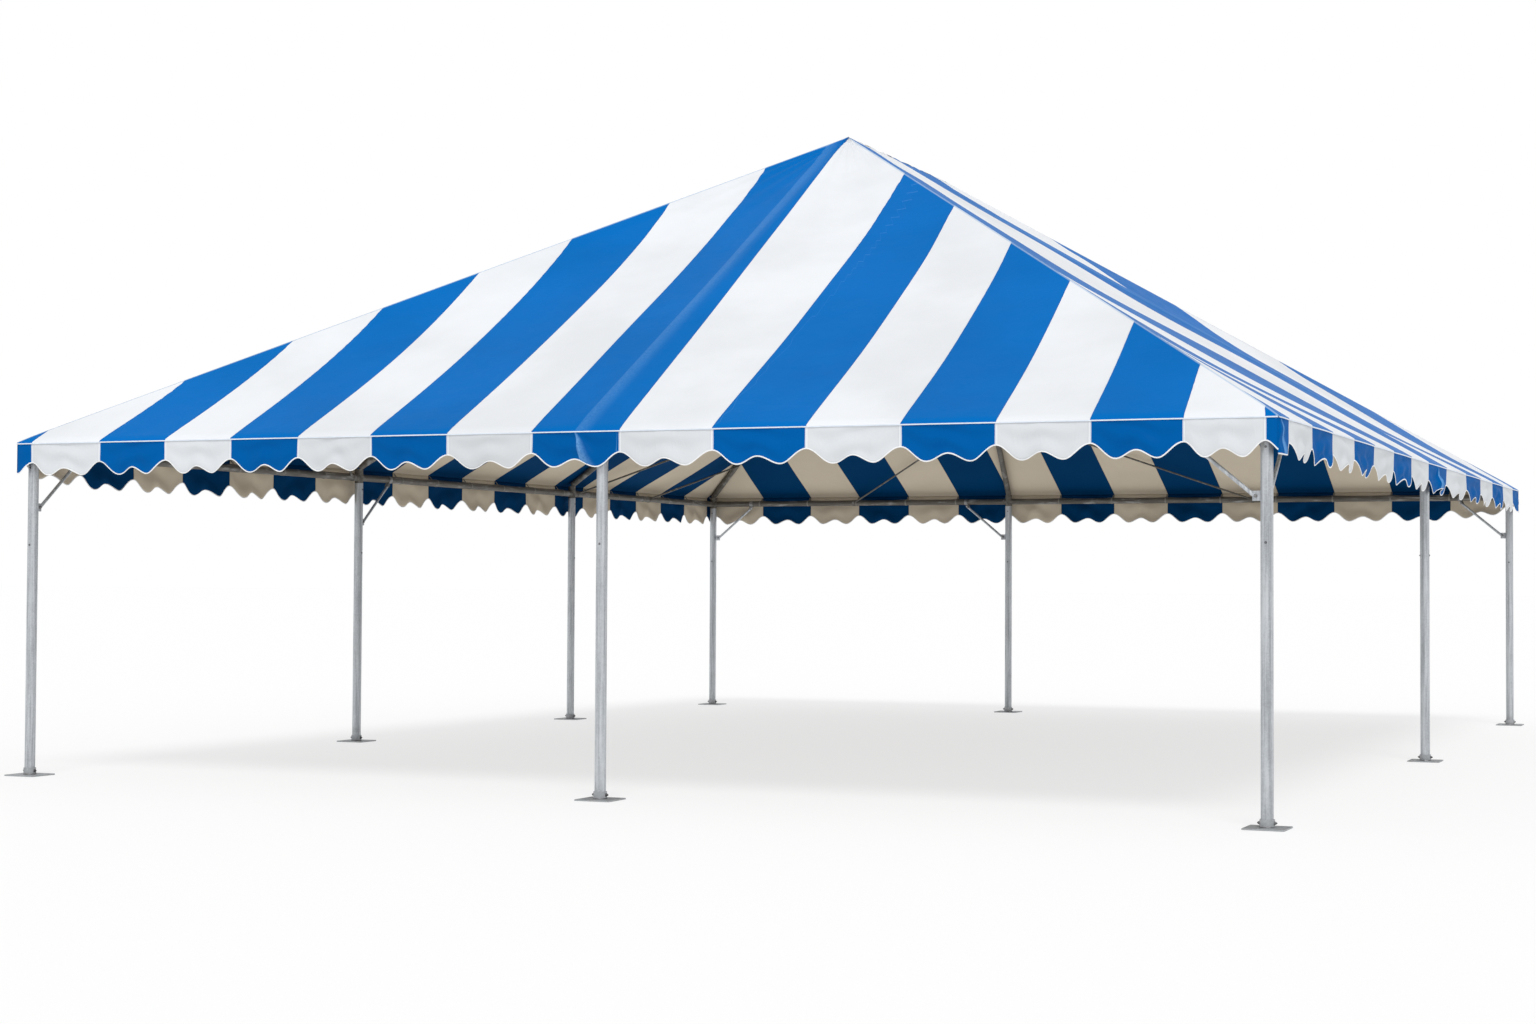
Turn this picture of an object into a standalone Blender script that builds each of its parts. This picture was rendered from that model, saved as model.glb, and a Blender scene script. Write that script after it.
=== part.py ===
"""Striped frame tent, 30 ft by 40 ft, with a hip roof, a scalloped valance and nine legs on base plates.

Metres, +Z up. The origin is on the ground under the middle of the tent. +X runs along the short sides,
to the right of someone who faces the front, and +Y runs from the front to the back.
"""

import math

import bmesh
import bpy
from mathutils import Matrix, Vector

# ---- Driving dimensions -------------------------------------------------------------------------
FOOT = 0.3048
HALF_WIDTH = 15 * FOOT  # leg centres: the front and the back are 30 ft
HALF_LENGTH = 20 * FOOT  # leg centres: the left and right sides are 40 ft
RAIL_HEIGHT = 2.38  # centre line of the eave rails
EAVE_HEIGHT = 2.46  # fold where the roof turns down into the valance
RIDGE_HEIGHT = 5.235  # underside of the canopy over the ridge
HALF_RIDGE = 1.25
OVERHANG = 0.085  # the canopy's fold stands this far outside the leg centres

LEG_RADIUS = 0.0381
LEG_WALL = 0.0030
LEG_TOP = 2.33
HUB_TOP = 2.458
RAIL_RADIUS = 0.03175
RAIL_WALL = 0.0026
RAFTER_RADIUS = 0.0302
RAFTER_WALL = 0.0026
BRACE_RADIUS = 0.0127

GAP = 0.0003  # between faces that meet
SLIP = 0.0015  # radial play of a spigot in its tube
SPIGOT_LENGTH = 0.15
STUB_INSET = 0.012  # a stub starts this far from the middle of its hub
SPIGOT_INSET = 0.02  # a spigot starts this far inside its stub
RAIL_START = 0.060  # from a leg's centre line to the end of a rail
RAFTER_START = 0.095  # and to the foot of a rafter
CROWN_START = 0.140  # from the middle of a crown to the tubes that meet there
CROWN_RADIUS = 0.050
CROWN_DEPTH = 0.085
CROWN_RISE = 0.004  # the crown's hub stands this far above the tubes' centre lines

BRACE_FOOT_HEIGHT = 1.98
BRACE_REACH = 0.50
EAR_LENGTH = 0.050
EAR_HEIGHT = 0.060
EAR_THICKNESS = 0.008
EAR_BITE = 0.0015  # how deep an ear is welded into its leg's wall

PLATE_SIDE = 0.254
PLATE_THICKNESS = 0.010
SLEEVE_HEIGHT = 0.048
SLEEVE_WALL = 0.006
SLEEVE_PLAY = 0.0010

CLOTH = 0.005
CLOTH_CLEARANCE = 0.006  # between the canopy and the tubes under it
PANEL_GAP = 0.0006  # each roof panel stops this far short of its hip
PANEL_TOP = 0.999  # and at this fraction of the way up to the ridge
SAG = 0.085
BAY_COLUMNS = 5
SLOPE_ROWS = 6

VALANCE_DEPTH = 0.250  # fold to the bottom of a lobe
SEAM_DEPTH = 0.155  # fold to the notch at a stripe's seam
MIDDLE_DEPTH = 0.200  # fold to the notch in the middle of a stripe
CORNER_DEPTH = 0.235
CORNER_RISE = 0.120  # how far past the last seam the edge reaches that depth
LOBE_AT = 0.27  # the lobe's lowest point, as a fraction of the stripe
FAR_DROP = 0.070  # how much lower the edges of the back and the left hang
DROP_EASE = 0.90  # the length over which that builds up, from the corner with the front or the right
SHALLOW_END = {"back": -1, "left": 1}  # which end of the side that corner is at
BACK_STRIPES = 15
LEFT_STRIPES = 19
# Seams of the two sides whose stripes aren't all of one width, from the middle of the side.
FRONT_SEAMS = (
    *(-4.52, -3.91, -3.33, -2.77, -2.20, -1.61, -1.00, -0.35),
    *(0.31, 0.98, 1.64, 2.28, 2.91, 3.51, 4.09, 4.58),
)
RIGHT_SEAMS = (-5.86, -5.13, -4.42, -3.62, -2.79, -1.93, -1.07, -0.18, 0.88, 2.08, 3.10, 3.98, 4.83, 5.65)

TUBE_SIDES = 24
SMALL_SIDES = 12

# ---- Where the legs stand, and what meets at each ------------------------------------------------
LEGS = {
    "front_left": (-HALF_WIDTH, -HALF_LENGTH),
    "front_middle": (0.14, -HALF_LENGTH),
    "front_right": (HALF_WIDTH, -HALF_LENGTH),
    "right_middle": (HALF_WIDTH, 0.18),
    "back_right": (HALF_WIDTH, HALF_LENGTH),
    "back_middle": (-0.90, HALF_LENGTH),
    "back_left": (-HALF_WIDTH, HALF_LENGTH),
    "left_far": (-HALF_WIDTH, 2.47),
    "left_near": (-HALF_WIDTH, -1.67),
}
# Round the tent from the front left corner, one rail to a bay.
RAILS = {
    "front_left": ("front_left", "front_middle"),
    "front_right": ("front_middle", "front_right"),
    "right_near": ("front_right", "right_middle"),
    "right_far": ("right_middle", "back_right"),
    "back_right": ("back_right", "back_middle"),
    "back_left": ("back_middle", "back_left"),
    "left_far": ("back_left", "left_far"),
    "left_middle": ("left_far", "left_near"),
    "left_near": ("left_near", "front_left"),
}
# The crowns along the ridge, and the legs whose rafters reach each one.
CROWNS = {
    "front": (-HALF_RIDGE, ("front_left", "front_middle", "front_right", "left_near")),
    "middle": (0.18, ("right_middle",)),
    "back": (HALF_RIDGE, ("back_right", "back_middle", "back_left", "left_far")),
}
# The ways in which the knee braces reach along X and Y, on the legs that have them.
BRACES = {
    "front_left": ((0, 1),),
    "front_right": ((-1, 0), (0, 1)),
    "back_right": ((-1, 0),),
    "back_middle": ((-1, 0),),
    "back_left": ((1, 0),),
    "left_near": ((0, 1),),
}

# ---- Roof geometry that follows from the driving dimensions --------------------------------------
EAVE_X = HALF_WIDTH + OVERHANG
EAVE_Y = HALF_LENGTH + OVERHANG
RISE = RIDGE_HEIGHT - EAVE_HEIGHT
SIDE_SLOPE = RISE / EAVE_X
END_SLOPE = RISE / (EAVE_Y - HALF_RIDGE)
# A tube's centre line runs this far below the canopy, which then clears it on both sides of a hip.
TUBE_DROP = (RAFTER_RADIUS + CLOTH_CLEARANCE) * math.hypot(1, SIDE_SLOPE)
CROWN_HEIGHT = RIDGE_HEIGHT - TUBE_DROP

# Each side of the roof: the way along its eave, the way in to the ridge, the distance in, and the lines
# that hold it up, as pairs of a place along the eave and a place along the ridge.
SIDES = {
    "front": (
        Vector((1, 0, 0)),
        Vector((0, 1, 0)),
        EAVE_Y,
        EAVE_Y - HALF_RIDGE,
        ((-EAVE_X, 0), (LEGS["front_middle"][0], 0), (EAVE_X, 0)),
    ),
    "right": (
        Vector((0, 1, 0)),
        Vector((-1, 0, 0)),
        EAVE_X,
        EAVE_X,
        ((-EAVE_Y, -HALF_RIDGE), (0.18, 0.18), (EAVE_Y, HALF_RIDGE)),
    ),
    "back": (
        Vector((-1, 0, 0)),
        Vector((0, -1, 0)),
        EAVE_Y,
        EAVE_Y - HALF_RIDGE,
        ((-EAVE_X, 0), (-LEGS["back_middle"][0], 0), (EAVE_X, 0)),
    ),
    "left": (
        Vector((0, -1, 0)),
        Vector((1, 0, 0)),
        EAVE_X,
        EAVE_X,
        (
            (-EAVE_Y, -HALF_RIDGE),
            (-LEGS["left_far"][1], -HALF_RIDGE),
            (-LEGS["left_near"][1], HALF_RIDGE),
            (EAVE_Y, HALF_RIDGE),
        ),
    ),
}


def even_seams(count, half_run):
    """Seams of equal stripes between two corner legs."""
    return tuple(-half_run + 2 * half_run * seam / count for seam in range(count + 1))


# Each side's seams, and half the length of its valance.
VALANCES = {
    "front": (FRONT_SEAMS, EAVE_X),
    "right": (RIGHT_SEAMS, EAVE_Y - CLOTH - GAP),
    "back": (even_seams(BACK_STRIPES, HALF_WIDTH), EAVE_X),
    "left": (even_seams(LEFT_STRIPES, HALF_LENGTH), EAVE_Y - CLOTH - GAP),
}

# Finishes: colour, roughness, metallic.
FINISHES = {
    "galvanised_steel": ((0.46, 0.47, 0.48, 1), 0.42, 0.9),
    "base_plate_steel": ((0.42, 0.43, 0.44, 1), 0.5, 0.9),
    "cast_fitting": ((0.40, 0.41, 0.42, 1), 0.55, 0.9),
    "striped_vinyl": ((0.05, 0.2, 0.56, 1), 0.35, 0.0),
    "valance_vinyl": ((0.03, 0.14, 0.42, 1), 0.4, 0.0),
}


# ---- Scene and materials -------------------------------------------------------------------------
def clear_scene():
    for obj in list(bpy.data.objects):
        bpy.data.objects.remove(obj, do_unlink=True)


def new_collection(name):
    collection = bpy.data.collections.new(name)
    bpy.context.scene.collection.children.link(collection)
    return collection


def new_material(name, finish):
    colour, roughness, metallic = FINISHES[finish]
    material = bpy.data.materials.new(name)
    material.use_nodes = True
    shader = material.node_tree.nodes["Principled BSDF"]
    shader.inputs["Base Color"].default_value = colour
    shader.inputs["Roughness"].default_value = roughness
    shader.inputs["Metallic"].default_value = metallic
    material.diffuse_color = colour
    return material


def add_object(name, mesh, collection, root=None):
    obj = bpy.data.objects.new(name, mesh)
    collection.objects.link(obj)
    obj.parent = root
    return obj


def mesh_from(name, shape):
    mesh = bpy.data.meshes.new(name)
    shape.to_mesh(mesh)
    shape.free()
    mesh.shade_smooth()
    mesh.set_sharp_from_angle(angle=math.radians(35))
    return mesh


# ---- Building blocks -----------------------------------------------------------------------------
def along(start, end):
    """The placing that takes a cylinder along Z, centred on the origin, onto the line from start to end."""
    turn = (end - start).to_track_quat("Z", "Y").to_matrix().to_4x4()
    return Matrix.Translation((start + end) / 2) @ turn


def rod(shape, start, end, radius, sides):
    """Add a solid cylinder from start to end."""
    bmesh.ops.create_cone(
        shape,
        cap_ends=True,
        segments=sides,
        radius1=radius,
        radius2=radius,
        depth=(end - start).length,
        matrix=along(start, end),
    )


def add_tube(kit, name, start, end, radius, wall):
    """A tube from start to end, open at both of its ends."""
    shape = bmesh.new()
    bmesh.ops.create_cone(
        shape,
        cap_ends=False,
        segments=TUBE_SIDES,
        radius1=radius,
        radius2=radius,
        depth=(end - start).length,
    )
    obj = add_object(name, mesh_from(name, shape), kit["parts"], kit["root"])
    obj.matrix_world = along(start, end)
    shell = obj.modifiers.new("wall", "SOLIDIFY")
    shell.thickness = wall
    shell.offset = -1
    return obj


def join(kit, obj, shape):
    """Weld the solids in shape to obj, and to each other, with a Boolean union."""
    name = obj.name + "_additions"
    tool = add_object(name, mesh_from(name, shape), kit["tools"])
    tool.hide_render = True
    tool.display_type = "WIRE"
    union = obj.modifiers.new("union", "BOOLEAN")
    union.operation = "UNION"
    union.solver = "EXACT"
    union.use_self = True
    union.object = tool


def finish(obj, kind):
    obj.data.materials.append(new_material(obj.name, kind))


# ---- Legs, plates, rails and rafters -------------------------------------------------------------
def leg_point(leg, height):
    return Vector((*LEGS[leg], height))


def under_canopy(x, y):
    """Height of the canopy's underside over a point of the plan, where a rafter holds it up."""
    return EAVE_HEIGHT + min(SIDE_SLOPE * (EAVE_X - abs(x)), END_SLOPE * (EAVE_Y - abs(y)))


def rafter_line(leg, place):
    """The ends of a rafter's centre line, over its leg and at its place along the ridge."""
    foot = Vector((*LEGS[leg], under_canopy(*LEGS[leg]) - TUBE_DROP))
    return foot, Vector((0, place, CROWN_HEIGHT))


def build_leg(kit, leg):
    obj = add_tube(
        kit,
        f"leg_{leg}",
        leg_point(leg, PLATE_THICKNESS + GAP),
        leg_point(leg, LEG_TOP),
        LEG_RADIUS,
        LEG_WALL,
    )
    additions = bmesh.new()
    brace_top = RAIL_HEIGHT - RAIL_RADIUS - BRACE_RADIUS - GAP
    for way in BRACES.get(leg, ()):
        out = Vector((*way, 0))
        ear_out = LEG_RADIUS - EAR_BITE + EAR_LENGTH / 2
        size = Vector((EAR_THICKNESS, EAR_THICKNESS, EAR_HEIGHT))
        size += Vector((abs(out.x), abs(out.y), 0)) * (EAR_LENGTH - EAR_THICKNESS)
        place = leg_point(leg, BRACE_FOOT_HEIGHT) + out * ear_out
        bmesh.ops.create_cube(
            additions,
            size=1,
            matrix=Matrix.Translation(place) @ Matrix.Diagonal((*size, 1)),
        )
        foot = leg_point(leg, BRACE_FOOT_HEIGHT) + out * (ear_out + EAR_LENGTH / 4)
        rod(additions, foot, leg_point(leg, brace_top) + out * BRACE_REACH, BRACE_RADIUS, SMALL_SIDES)
    join(kit, obj, additions)
    finish(obj, "galvanised_steel")


def build_base_plate(kit, leg):
    """A square plate with the short sleeve that the leg stands in."""
    inside = LEG_RADIUS + SLEEVE_PLAY
    obj = add_tube(
        kit,
        f"base_plate_{leg}",
        leg_point(leg, PLATE_THICKNESS / 2),
        leg_point(leg, PLATE_THICKNESS + SLEEVE_HEIGHT),
        inside + SLEEVE_WALL,
        SLEEVE_WALL,
    )
    plate = bmesh.new()
    size = Matrix.Diagonal((PLATE_SIDE, PLATE_SIDE, PLATE_THICKNESS, 1))
    place = Matrix.Translation(leg_point(leg, PLATE_THICKNESS / 2))
    bmesh.ops.create_cube(plate, size=1, matrix=place @ size)
    join(kit, obj, plate)
    finish(obj, "base_plate_steel")


def build_rail(kit, name, ends):
    first, last = (leg_point(leg, RAIL_HEIGHT) for leg in ends)
    way = (last - first).normalized() * RAIL_START
    obj = add_tube(kit, f"eave_rail_{name}", first + way, last - way, RAIL_RADIUS, RAIL_WALL)
    finish(obj, "galvanised_steel")


def build_rafter(kit, leg, place):
    foot, head = rafter_line(leg, place)
    way = (head - foot).normalized()
    start = foot + way * RAFTER_START
    obj = add_tube(kit, f"rafter_{leg}", start, head - way * CROWN_START, RAFTER_RADIUS, RAFTER_WALL)
    finish(obj, "galvanised_steel")


def arm(shape, centre, towards, start, radius, wall):
    """A stub as thick as its tube, and the spigot that goes on into the tube, which begins at start."""
    way = (towards - centre).normalized()
    rod(shape, centre + way * STUB_INSET, centre + way * (start - GAP), radius, TUBE_SIDES)
    spigot = radius - wall - SLIP
    rod(
        shape,
        centre + way * (start - SPIGOT_INSET),
        centre + way * (start + SPIGOT_LENGTH),
        spigot,
        SMALL_SIDES,
    )


def build_hub(kit, name, bottom, top, radius, arms):
    shape = bmesh.new()
    rod(shape, bottom, top, radius, TUBE_SIDES)
    obj = add_object(name, mesh_from(name, shape), kit["parts"], kit["root"])
    join(kit, obj, arms)
    finish(obj, "cast_fitting")


def build_eave_fitting(kit, leg, place):
    """The fitting on a leg: it holds the leg, two rails and the foot of a rafter."""
    arms = bmesh.new()
    centre = leg_point(leg, RAIL_HEIGHT)
    for ends in RAILS.values():
        if leg in ends:
            other = ends[1] if ends[0] == leg else ends[0]
            arm(arms, centre, leg_point(other, RAIL_HEIGHT), RAIL_START, RAIL_RADIUS, RAIL_WALL)
    foot, head = rafter_line(leg, place)
    arm(arms, foot, head, RAFTER_START, RAFTER_RADIUS, RAFTER_WALL)
    rod(
        arms,
        leg_point(leg, LEG_TOP - SPIGOT_LENGTH),
        leg_point(leg, RAIL_HEIGHT - SPIGOT_INSET),
        LEG_RADIUS - LEG_WALL - SLIP,
        SMALL_SIDES,
    )
    bottom, top = leg_point(leg, LEG_TOP + GAP), leg_point(leg, HUB_TOP)
    build_hub(kit, f"eave_fitting_{leg}", bottom, top, LEG_RADIUS, arms)


def build_crown(kit, name):
    """A hub on the ridge: it holds the heads of its rafters and the ridge poles beside it."""
    place, legs = CROWNS[name]
    centre = Vector((0, place, CROWN_HEIGHT))
    arms = bmesh.new()
    for leg in legs:
        arm(arms, centre, rafter_line(leg, place)[0], CROWN_START, RAFTER_RADIUS, RAFTER_WALL)
    ridge_ways = {"front": (1,), "middle": (-1, 1), "back": (-1,)}[name]
    for way in ridge_ways:
        arm(arms, centre, centre + Vector((0, way, 0)), CROWN_START, RAFTER_RADIUS, RAFTER_WALL)
    bottom = centre - Vector((0, 0, CROWN_DEPTH))
    build_hub(kit, f"crown_{name}", bottom, centre + Vector((0, 0, CROWN_RISE)), CROWN_RADIUS, arms)


def build_ridge_pole(kit, name, ends):
    first, last = (Vector((0, CROWNS[crown][0], CROWN_HEIGHT)) for crown in ends)
    way = (last - first).normalized() * CROWN_START
    obj = add_tube(kit, f"ridge_pole_{name}", first + way, last - way, RAFTER_RADIUS, RAFTER_WALL)
    finish(obj, "galvanised_steel")


# ---- The canopy ----------------------------------------------------------------------------------
def build_roof_panel(kit, name):
    """A thin shell from eave to ridge that hangs a little between the lines that hold it up."""
    way, inward, out, run, supports = SIDES[name]
    bays = len(supports) - 1
    shape = bmesh.new()
    bmesh.ops.create_grid(shape, x_segments=bays * BAY_COLUMNS, y_segments=SLOPE_ROWS, size=1)
    for vertex in shape.verts:
        across = (vertex.co.x + 1) / 2 * bays
        bay = min(int(across + 1e-4), bays - 1)
        part = across - bay
        up = (vertex.co.y + 1) / 2 * PANEL_TOP
        edges = [eave * (1 - up) + ridge * up for eave, ridge in supports[bay : bay + 2]]
        if bay == 0:
            edges[0] += PANEL_GAP
        if bay == bays - 1:
            edges[1] -= PANEL_GAP
        sag = SAG * 4 * part * (1 - part) * 4 * up * (1 - up)
        point = way * (edges[0] * (1 - part) + edges[1] * part) - inward * (out - run * up)
        vertex.co = point + Vector((0, 0, EAVE_HEIGHT + RISE * up - sag))
    obj = add_object(f"roof_{name}", mesh_from(name, shape), kit["parts"], kit["root"])
    cloth = obj.modifiers.new("cloth", "SOLIDIFY")
    cloth.thickness = CLOTH
    cloth.offset = 1
    finish(obj, "striped_vinyl")


def ease(first, last, part):
    """Half a cosine wave from first to last."""
    return first + (last - first) * (1 - math.cos(math.pi * part)) / 2


def hem_depth(part):
    """How far the scalloped edge hangs below the fold, part of the way across a stripe."""
    near = min(part, 1 - part)
    if near < LOBE_AT:
        return ease(SEAM_DEPTH, VALANCE_DEPTH, near / LOBE_AT)
    return ease(VALANCE_DEPTH, MIDDLE_DEPTH, (near - LOBE_AT) / (0.5 - LOBE_AT))


def far_drop(name, half, x):
    """How much lower a side's edge hangs at a place than the front's does."""
    if name not in SHALLOW_END:
        return 0.0
    return ease(0, FAR_DROP, min(1, (half - SHALLOW_END[name] * x) / DROP_EASE))


def corner_hem(corner, seam):
    """The edge's points from a corner to near the first seam, going inwards."""
    rise = CORNER_RISE if abs(corner - seam) > CORNER_RISE else abs(corner - seam)
    bottom = seam + math.copysign(rise, corner)
    points = [(corner, -CORNER_DEPTH)]
    if abs(corner - bottom) > GAP:
        points.append((bottom, -CORNER_DEPTH))
    return points


def build_valance(kit, name):
    """A flat strip with two lobes to a stripe, and one that wraps each corner."""
    way, inward, out, _, _ = SIDES[name]
    seams, half = VALANCES[name]
    steps = (0, LOBE_AT / 2, LOBE_AT, 0.25 + LOBE_AT / 2, 0.5)
    steps += tuple(1 - step for step in reversed(steps[1:4]))
    hem = corner_hem(-half, seams[0])
    for start, end in zip(seams, seams[1:]):
        hem += [(start + (end - start) * step, -hem_depth(step)) for step in steps]
    hem += [(seams[-1], -SEAM_DEPTH), *reversed(corner_hem(half, seams[-1]))]
    hem = [(x, y - far_drop(name, half, x)) for x, y in hem]
    outline = hem + [(half, -GAP), (-half, -GAP)]

    curve = bpy.data.curves.new(name, "CURVE")
    curve.dimensions = "2D"
    curve.fill_mode = "BOTH"
    curve.extrude = CLOTH / 2
    spline = curve.splines.new("POLY")
    spline.points.add(len(outline) - 1)
    for point, (x, y) in zip(spline.points, outline):
        point.co = (x, y, 0, 1)
    spline.use_cyclic_u = True
    obj = add_object(f"valance_{name}", curve, kit["parts"], kit["root"])
    turn = Matrix((way, (0, 0, 1), -inward)).transposed().to_4x4()
    middle = -inward * (out - CLOTH / 2) + Vector((0, 0, EAVE_HEIGHT))
    obj.matrix_world = Matrix.Translation(middle) @ turn
    finish(obj, "valance_vinyl")


def main():
    clear_scene()
    parts = new_collection("frame_tent")
    kit = {"parts": parts, "tools": new_collection("tools"), "root": None}
    kit["root"] = add_object("frame_tent", None, parts)
    places = {leg: place for place, legs in CROWNS.values() for leg in legs}
    for leg in LEGS:
        build_base_plate(kit, leg)
        build_leg(kit, leg)
        build_eave_fitting(kit, leg, places[leg])
        build_rafter(kit, leg, places[leg])
    for name, ends in RAILS.items():
        build_rail(kit, name, ends)
    for name in CROWNS:
        build_crown(kit, name)
    build_ridge_pole(kit, "front", ("front", "middle"))
    build_ridge_pole(kit, "back", ("middle", "back"))
    for name in SIDES:
        build_roof_panel(kit, name)
        build_valance(kit, name)


main()
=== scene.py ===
"""Looks of a striped hip-roof frame tent: its sewn vinyl top, its hardware and its steel frame's finish.

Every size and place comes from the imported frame, in metres, with +Z up and the front facing -Y.
"""

import logging
import math
from collections.abc import Callable, Iterable, Sequence
from dataclasses import dataclass, field, replace
from enum import Enum

import bmesh
import bpy
import numpy as np
from mathutils import Matrix, Vector


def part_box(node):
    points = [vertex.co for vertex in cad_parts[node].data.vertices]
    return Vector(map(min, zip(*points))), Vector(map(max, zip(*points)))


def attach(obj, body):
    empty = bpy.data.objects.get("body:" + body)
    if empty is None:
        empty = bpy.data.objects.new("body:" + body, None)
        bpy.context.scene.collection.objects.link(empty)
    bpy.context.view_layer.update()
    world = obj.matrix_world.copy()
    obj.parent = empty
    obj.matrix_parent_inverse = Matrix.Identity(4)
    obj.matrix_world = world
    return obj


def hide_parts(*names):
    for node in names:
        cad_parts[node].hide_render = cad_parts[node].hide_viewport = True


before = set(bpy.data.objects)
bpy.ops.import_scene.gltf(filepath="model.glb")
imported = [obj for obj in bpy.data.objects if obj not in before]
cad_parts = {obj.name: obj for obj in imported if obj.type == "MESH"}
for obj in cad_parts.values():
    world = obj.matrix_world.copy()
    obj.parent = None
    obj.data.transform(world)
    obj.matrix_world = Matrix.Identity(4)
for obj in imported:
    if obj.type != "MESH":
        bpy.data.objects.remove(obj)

LOG = logging.getLogger("frame_tent")
CROWN_START = 0.140  # from the middle of a crown to the tubes that meet there
OVERHANG = 0.085  # from the leg centres out to the canopy's fold
HALF_WIDTH = 4.572  # from the middle of the tent to the corner legs' centres, 15 ft
HALF_LENGTH = 6.096  # the same along the tent, 20 ft
LEG_RADIUS = 0.0381
RAIL_RADIUS = 0.03175
SUNK = 0.001  # how far a bolt's washer is let into the face it lies on
UP = Vector((0, 0, 1))


# ---- Layout read from the frame ------------------------------------------------------------------
class Side(Enum):
    """The four sides of the roof, with the way along the eave and the way in to the ridge."""

    FRONT = ("front", (1, 0), (0, 1))
    RIGHT = ("right", (0, 1), (-1, 0))
    BACK = ("back", (-1, 0), (0, -1))
    LEFT = ("left", (0, -1), (1, 0))

    def __init__(self, label: str, along: tuple[int, int], inward: tuple[int, int]) -> None:
        """Keep the side's name and its two directions in the plan."""
        self.label = label
        self.along = np.array((*along, 0.0))
        self.inward = np.array((*inward, 0.0))

    @property
    def is_end(self) -> bool:
        """Whether this side is one of the two short ones."""
        return self in (Side.FRONT, Side.BACK)


@dataclass(frozen=True)
class Layout:
    """Where the frame stands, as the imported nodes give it.

    Attributes:
        legs: Plan position of each leg, by name.
        eave: Half the canopy's width and length at its fold.
        eave_height: Height of the fold.
        ridge_height: Height of the canopy over the ridge.
        half_ridge: Half the distance between the outer crowns.
        rail_height: Height of the eave rails' middle line.
    """

    legs: dict[str, tuple[float, float]]
    eave: tuple[float, float]
    eave_height: float
    ridge_height: float
    half_ridge: float
    rail_height: float

    @classmethod
    def from_frame(cls) -> "Layout":
        """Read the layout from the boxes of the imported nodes.

        Returns:
            The layout of this tent.
        """
        legs = {}
        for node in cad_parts:
            if node.startswith("base_plate_"):
                low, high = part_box(node)
                legs[node.removeprefix("base_plate_")] = tuple((low[i] + high[i]) / 2 for i in (0, 1))
        ridge_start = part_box("ridge_pole_front")[0][1] - CROWN_START
        rail_low, rail_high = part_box("eave_rail_front_left")
        x, y = legs["back_right"]
        return cls(
            legs=legs,
            eave=(x + OVERHANG, y + OVERHANG),
            eave_height=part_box("valance_front")[1][2],
            ridge_height=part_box("roof_left")[1][2],
            half_ridge=-ridge_start,
            rail_height=(rail_low.z + rail_high.z) / 2,
        )

    def half_eave(self, side: Side) -> float:
        """Half the length of the side's fold."""
        return self.eave[0] if side.is_end else self.eave[1]

    def reach(self, side: Side) -> float:
        """How far the side's fold stands from the middle of the tent."""
        return self.eave[1] if side.is_end else self.eave[0]

    def run(self, side: Side) -> float:
        """The plan distance from the side's fold to the ridge."""
        return self.eave[1] - self.half_ridge if side.is_end else self.eave[0]

    def rail_point(self, side: Side, along: float, out: float = 0.0, rise: float = 0.0) -> Vector:
        """A point on the middle line of a side's rail, or outside and over it."""
        place = along * side.along - (self.reach(side) - OVERHANG + out) * side.inward
        return Vector((place[0], place[1], self.rail_height + rise))

    def leg_stations(self, side: Side) -> list[float]:
        """Where the legs stand along a side.

        Args:
            side: The side to look at.

        Returns:
            Their distances along the side from its middle, in order.
        """
        found = []
        for x, y in self.legs.values():
            here = np.array((x, y, 0.0))
            if abs(here @ side.inward + self.reach(side) - OVERHANG) < 0.01:
                found.append(float(here @ side.along))
        return sorted(found)

    def supports(self, side: Side) -> list[tuple[float, float]]:
        """The hips and rafters that hold a side up.

        Args:
            side: The side to look at.

        Returns:
            For each, its place along the fold and the place along the ridge that it reaches.
        """
        half = self.half_eave(side)
        middles = self.leg_stations(side)[1:-1]
        ridge_end = 0.0 if side.is_end else self.half_ridge
        tops = {1: [0.0 if side.is_end else middles[0]], 2: [-ridge_end, ridge_end]}[len(middles)]
        return [(-half, -ridge_end), *zip(middles, tops), (half, ridge_end)]


@dataclass(frozen=True)
class Seams:
    """Where a side's stripes meet; white ones come first and last, and a blue one wraps each corner.

    Attributes:
        eave: Places of the seams along the fold, from the middle of the side.
        lean: How far each of them has moved along by the time it is at the hip.
    """

    eave: tuple[float, ...]
    lean: tuple[float, ...] = ()

    @classmethod
    def even(cls, count: int, half_run: float) -> "Seams":
        """Seams of equal stripes between two corner legs."""
        return cls(tuple(-half_run + 2 * half_run * seam / count for seam in range(count + 1)))

    def across(self, along: np.ndarray, up: np.ndarray, half: float) -> np.ndarray:
        """Count the stripes up to some places on the slope.

        Args:
            along: The places along the side.
            up: How far up the slope they are, from 0 at the fold to 1 at the ridge.
            half: Half the length of the side's fold.

        Returns:
            The stripe's number and the fraction of it at each place; it's below 0 before the first seam.
        """
        along, up = np.broadcast_arrays(along, up)
        seams = np.array(self.eave)
        lean = np.array(self.lean or [0.0] * len(seams))
        hip = 1 - np.abs(seams) / half
        shifted = seams + lean * np.minimum(up[..., None] / np.maximum(hip, 1e-6), 1)
        number = np.sum(along[..., None] >= shifted, axis=-1) - 1
        inner = np.clip(number, 0, len(seams) - 2)
        start = np.take_along_axis(shifted, inner[..., None], -1)[..., 0]
        end = np.take_along_axis(shifted, inner[..., None] + 1, -1)[..., 0]
        return inner + (along - start) / (end - start)


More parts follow.
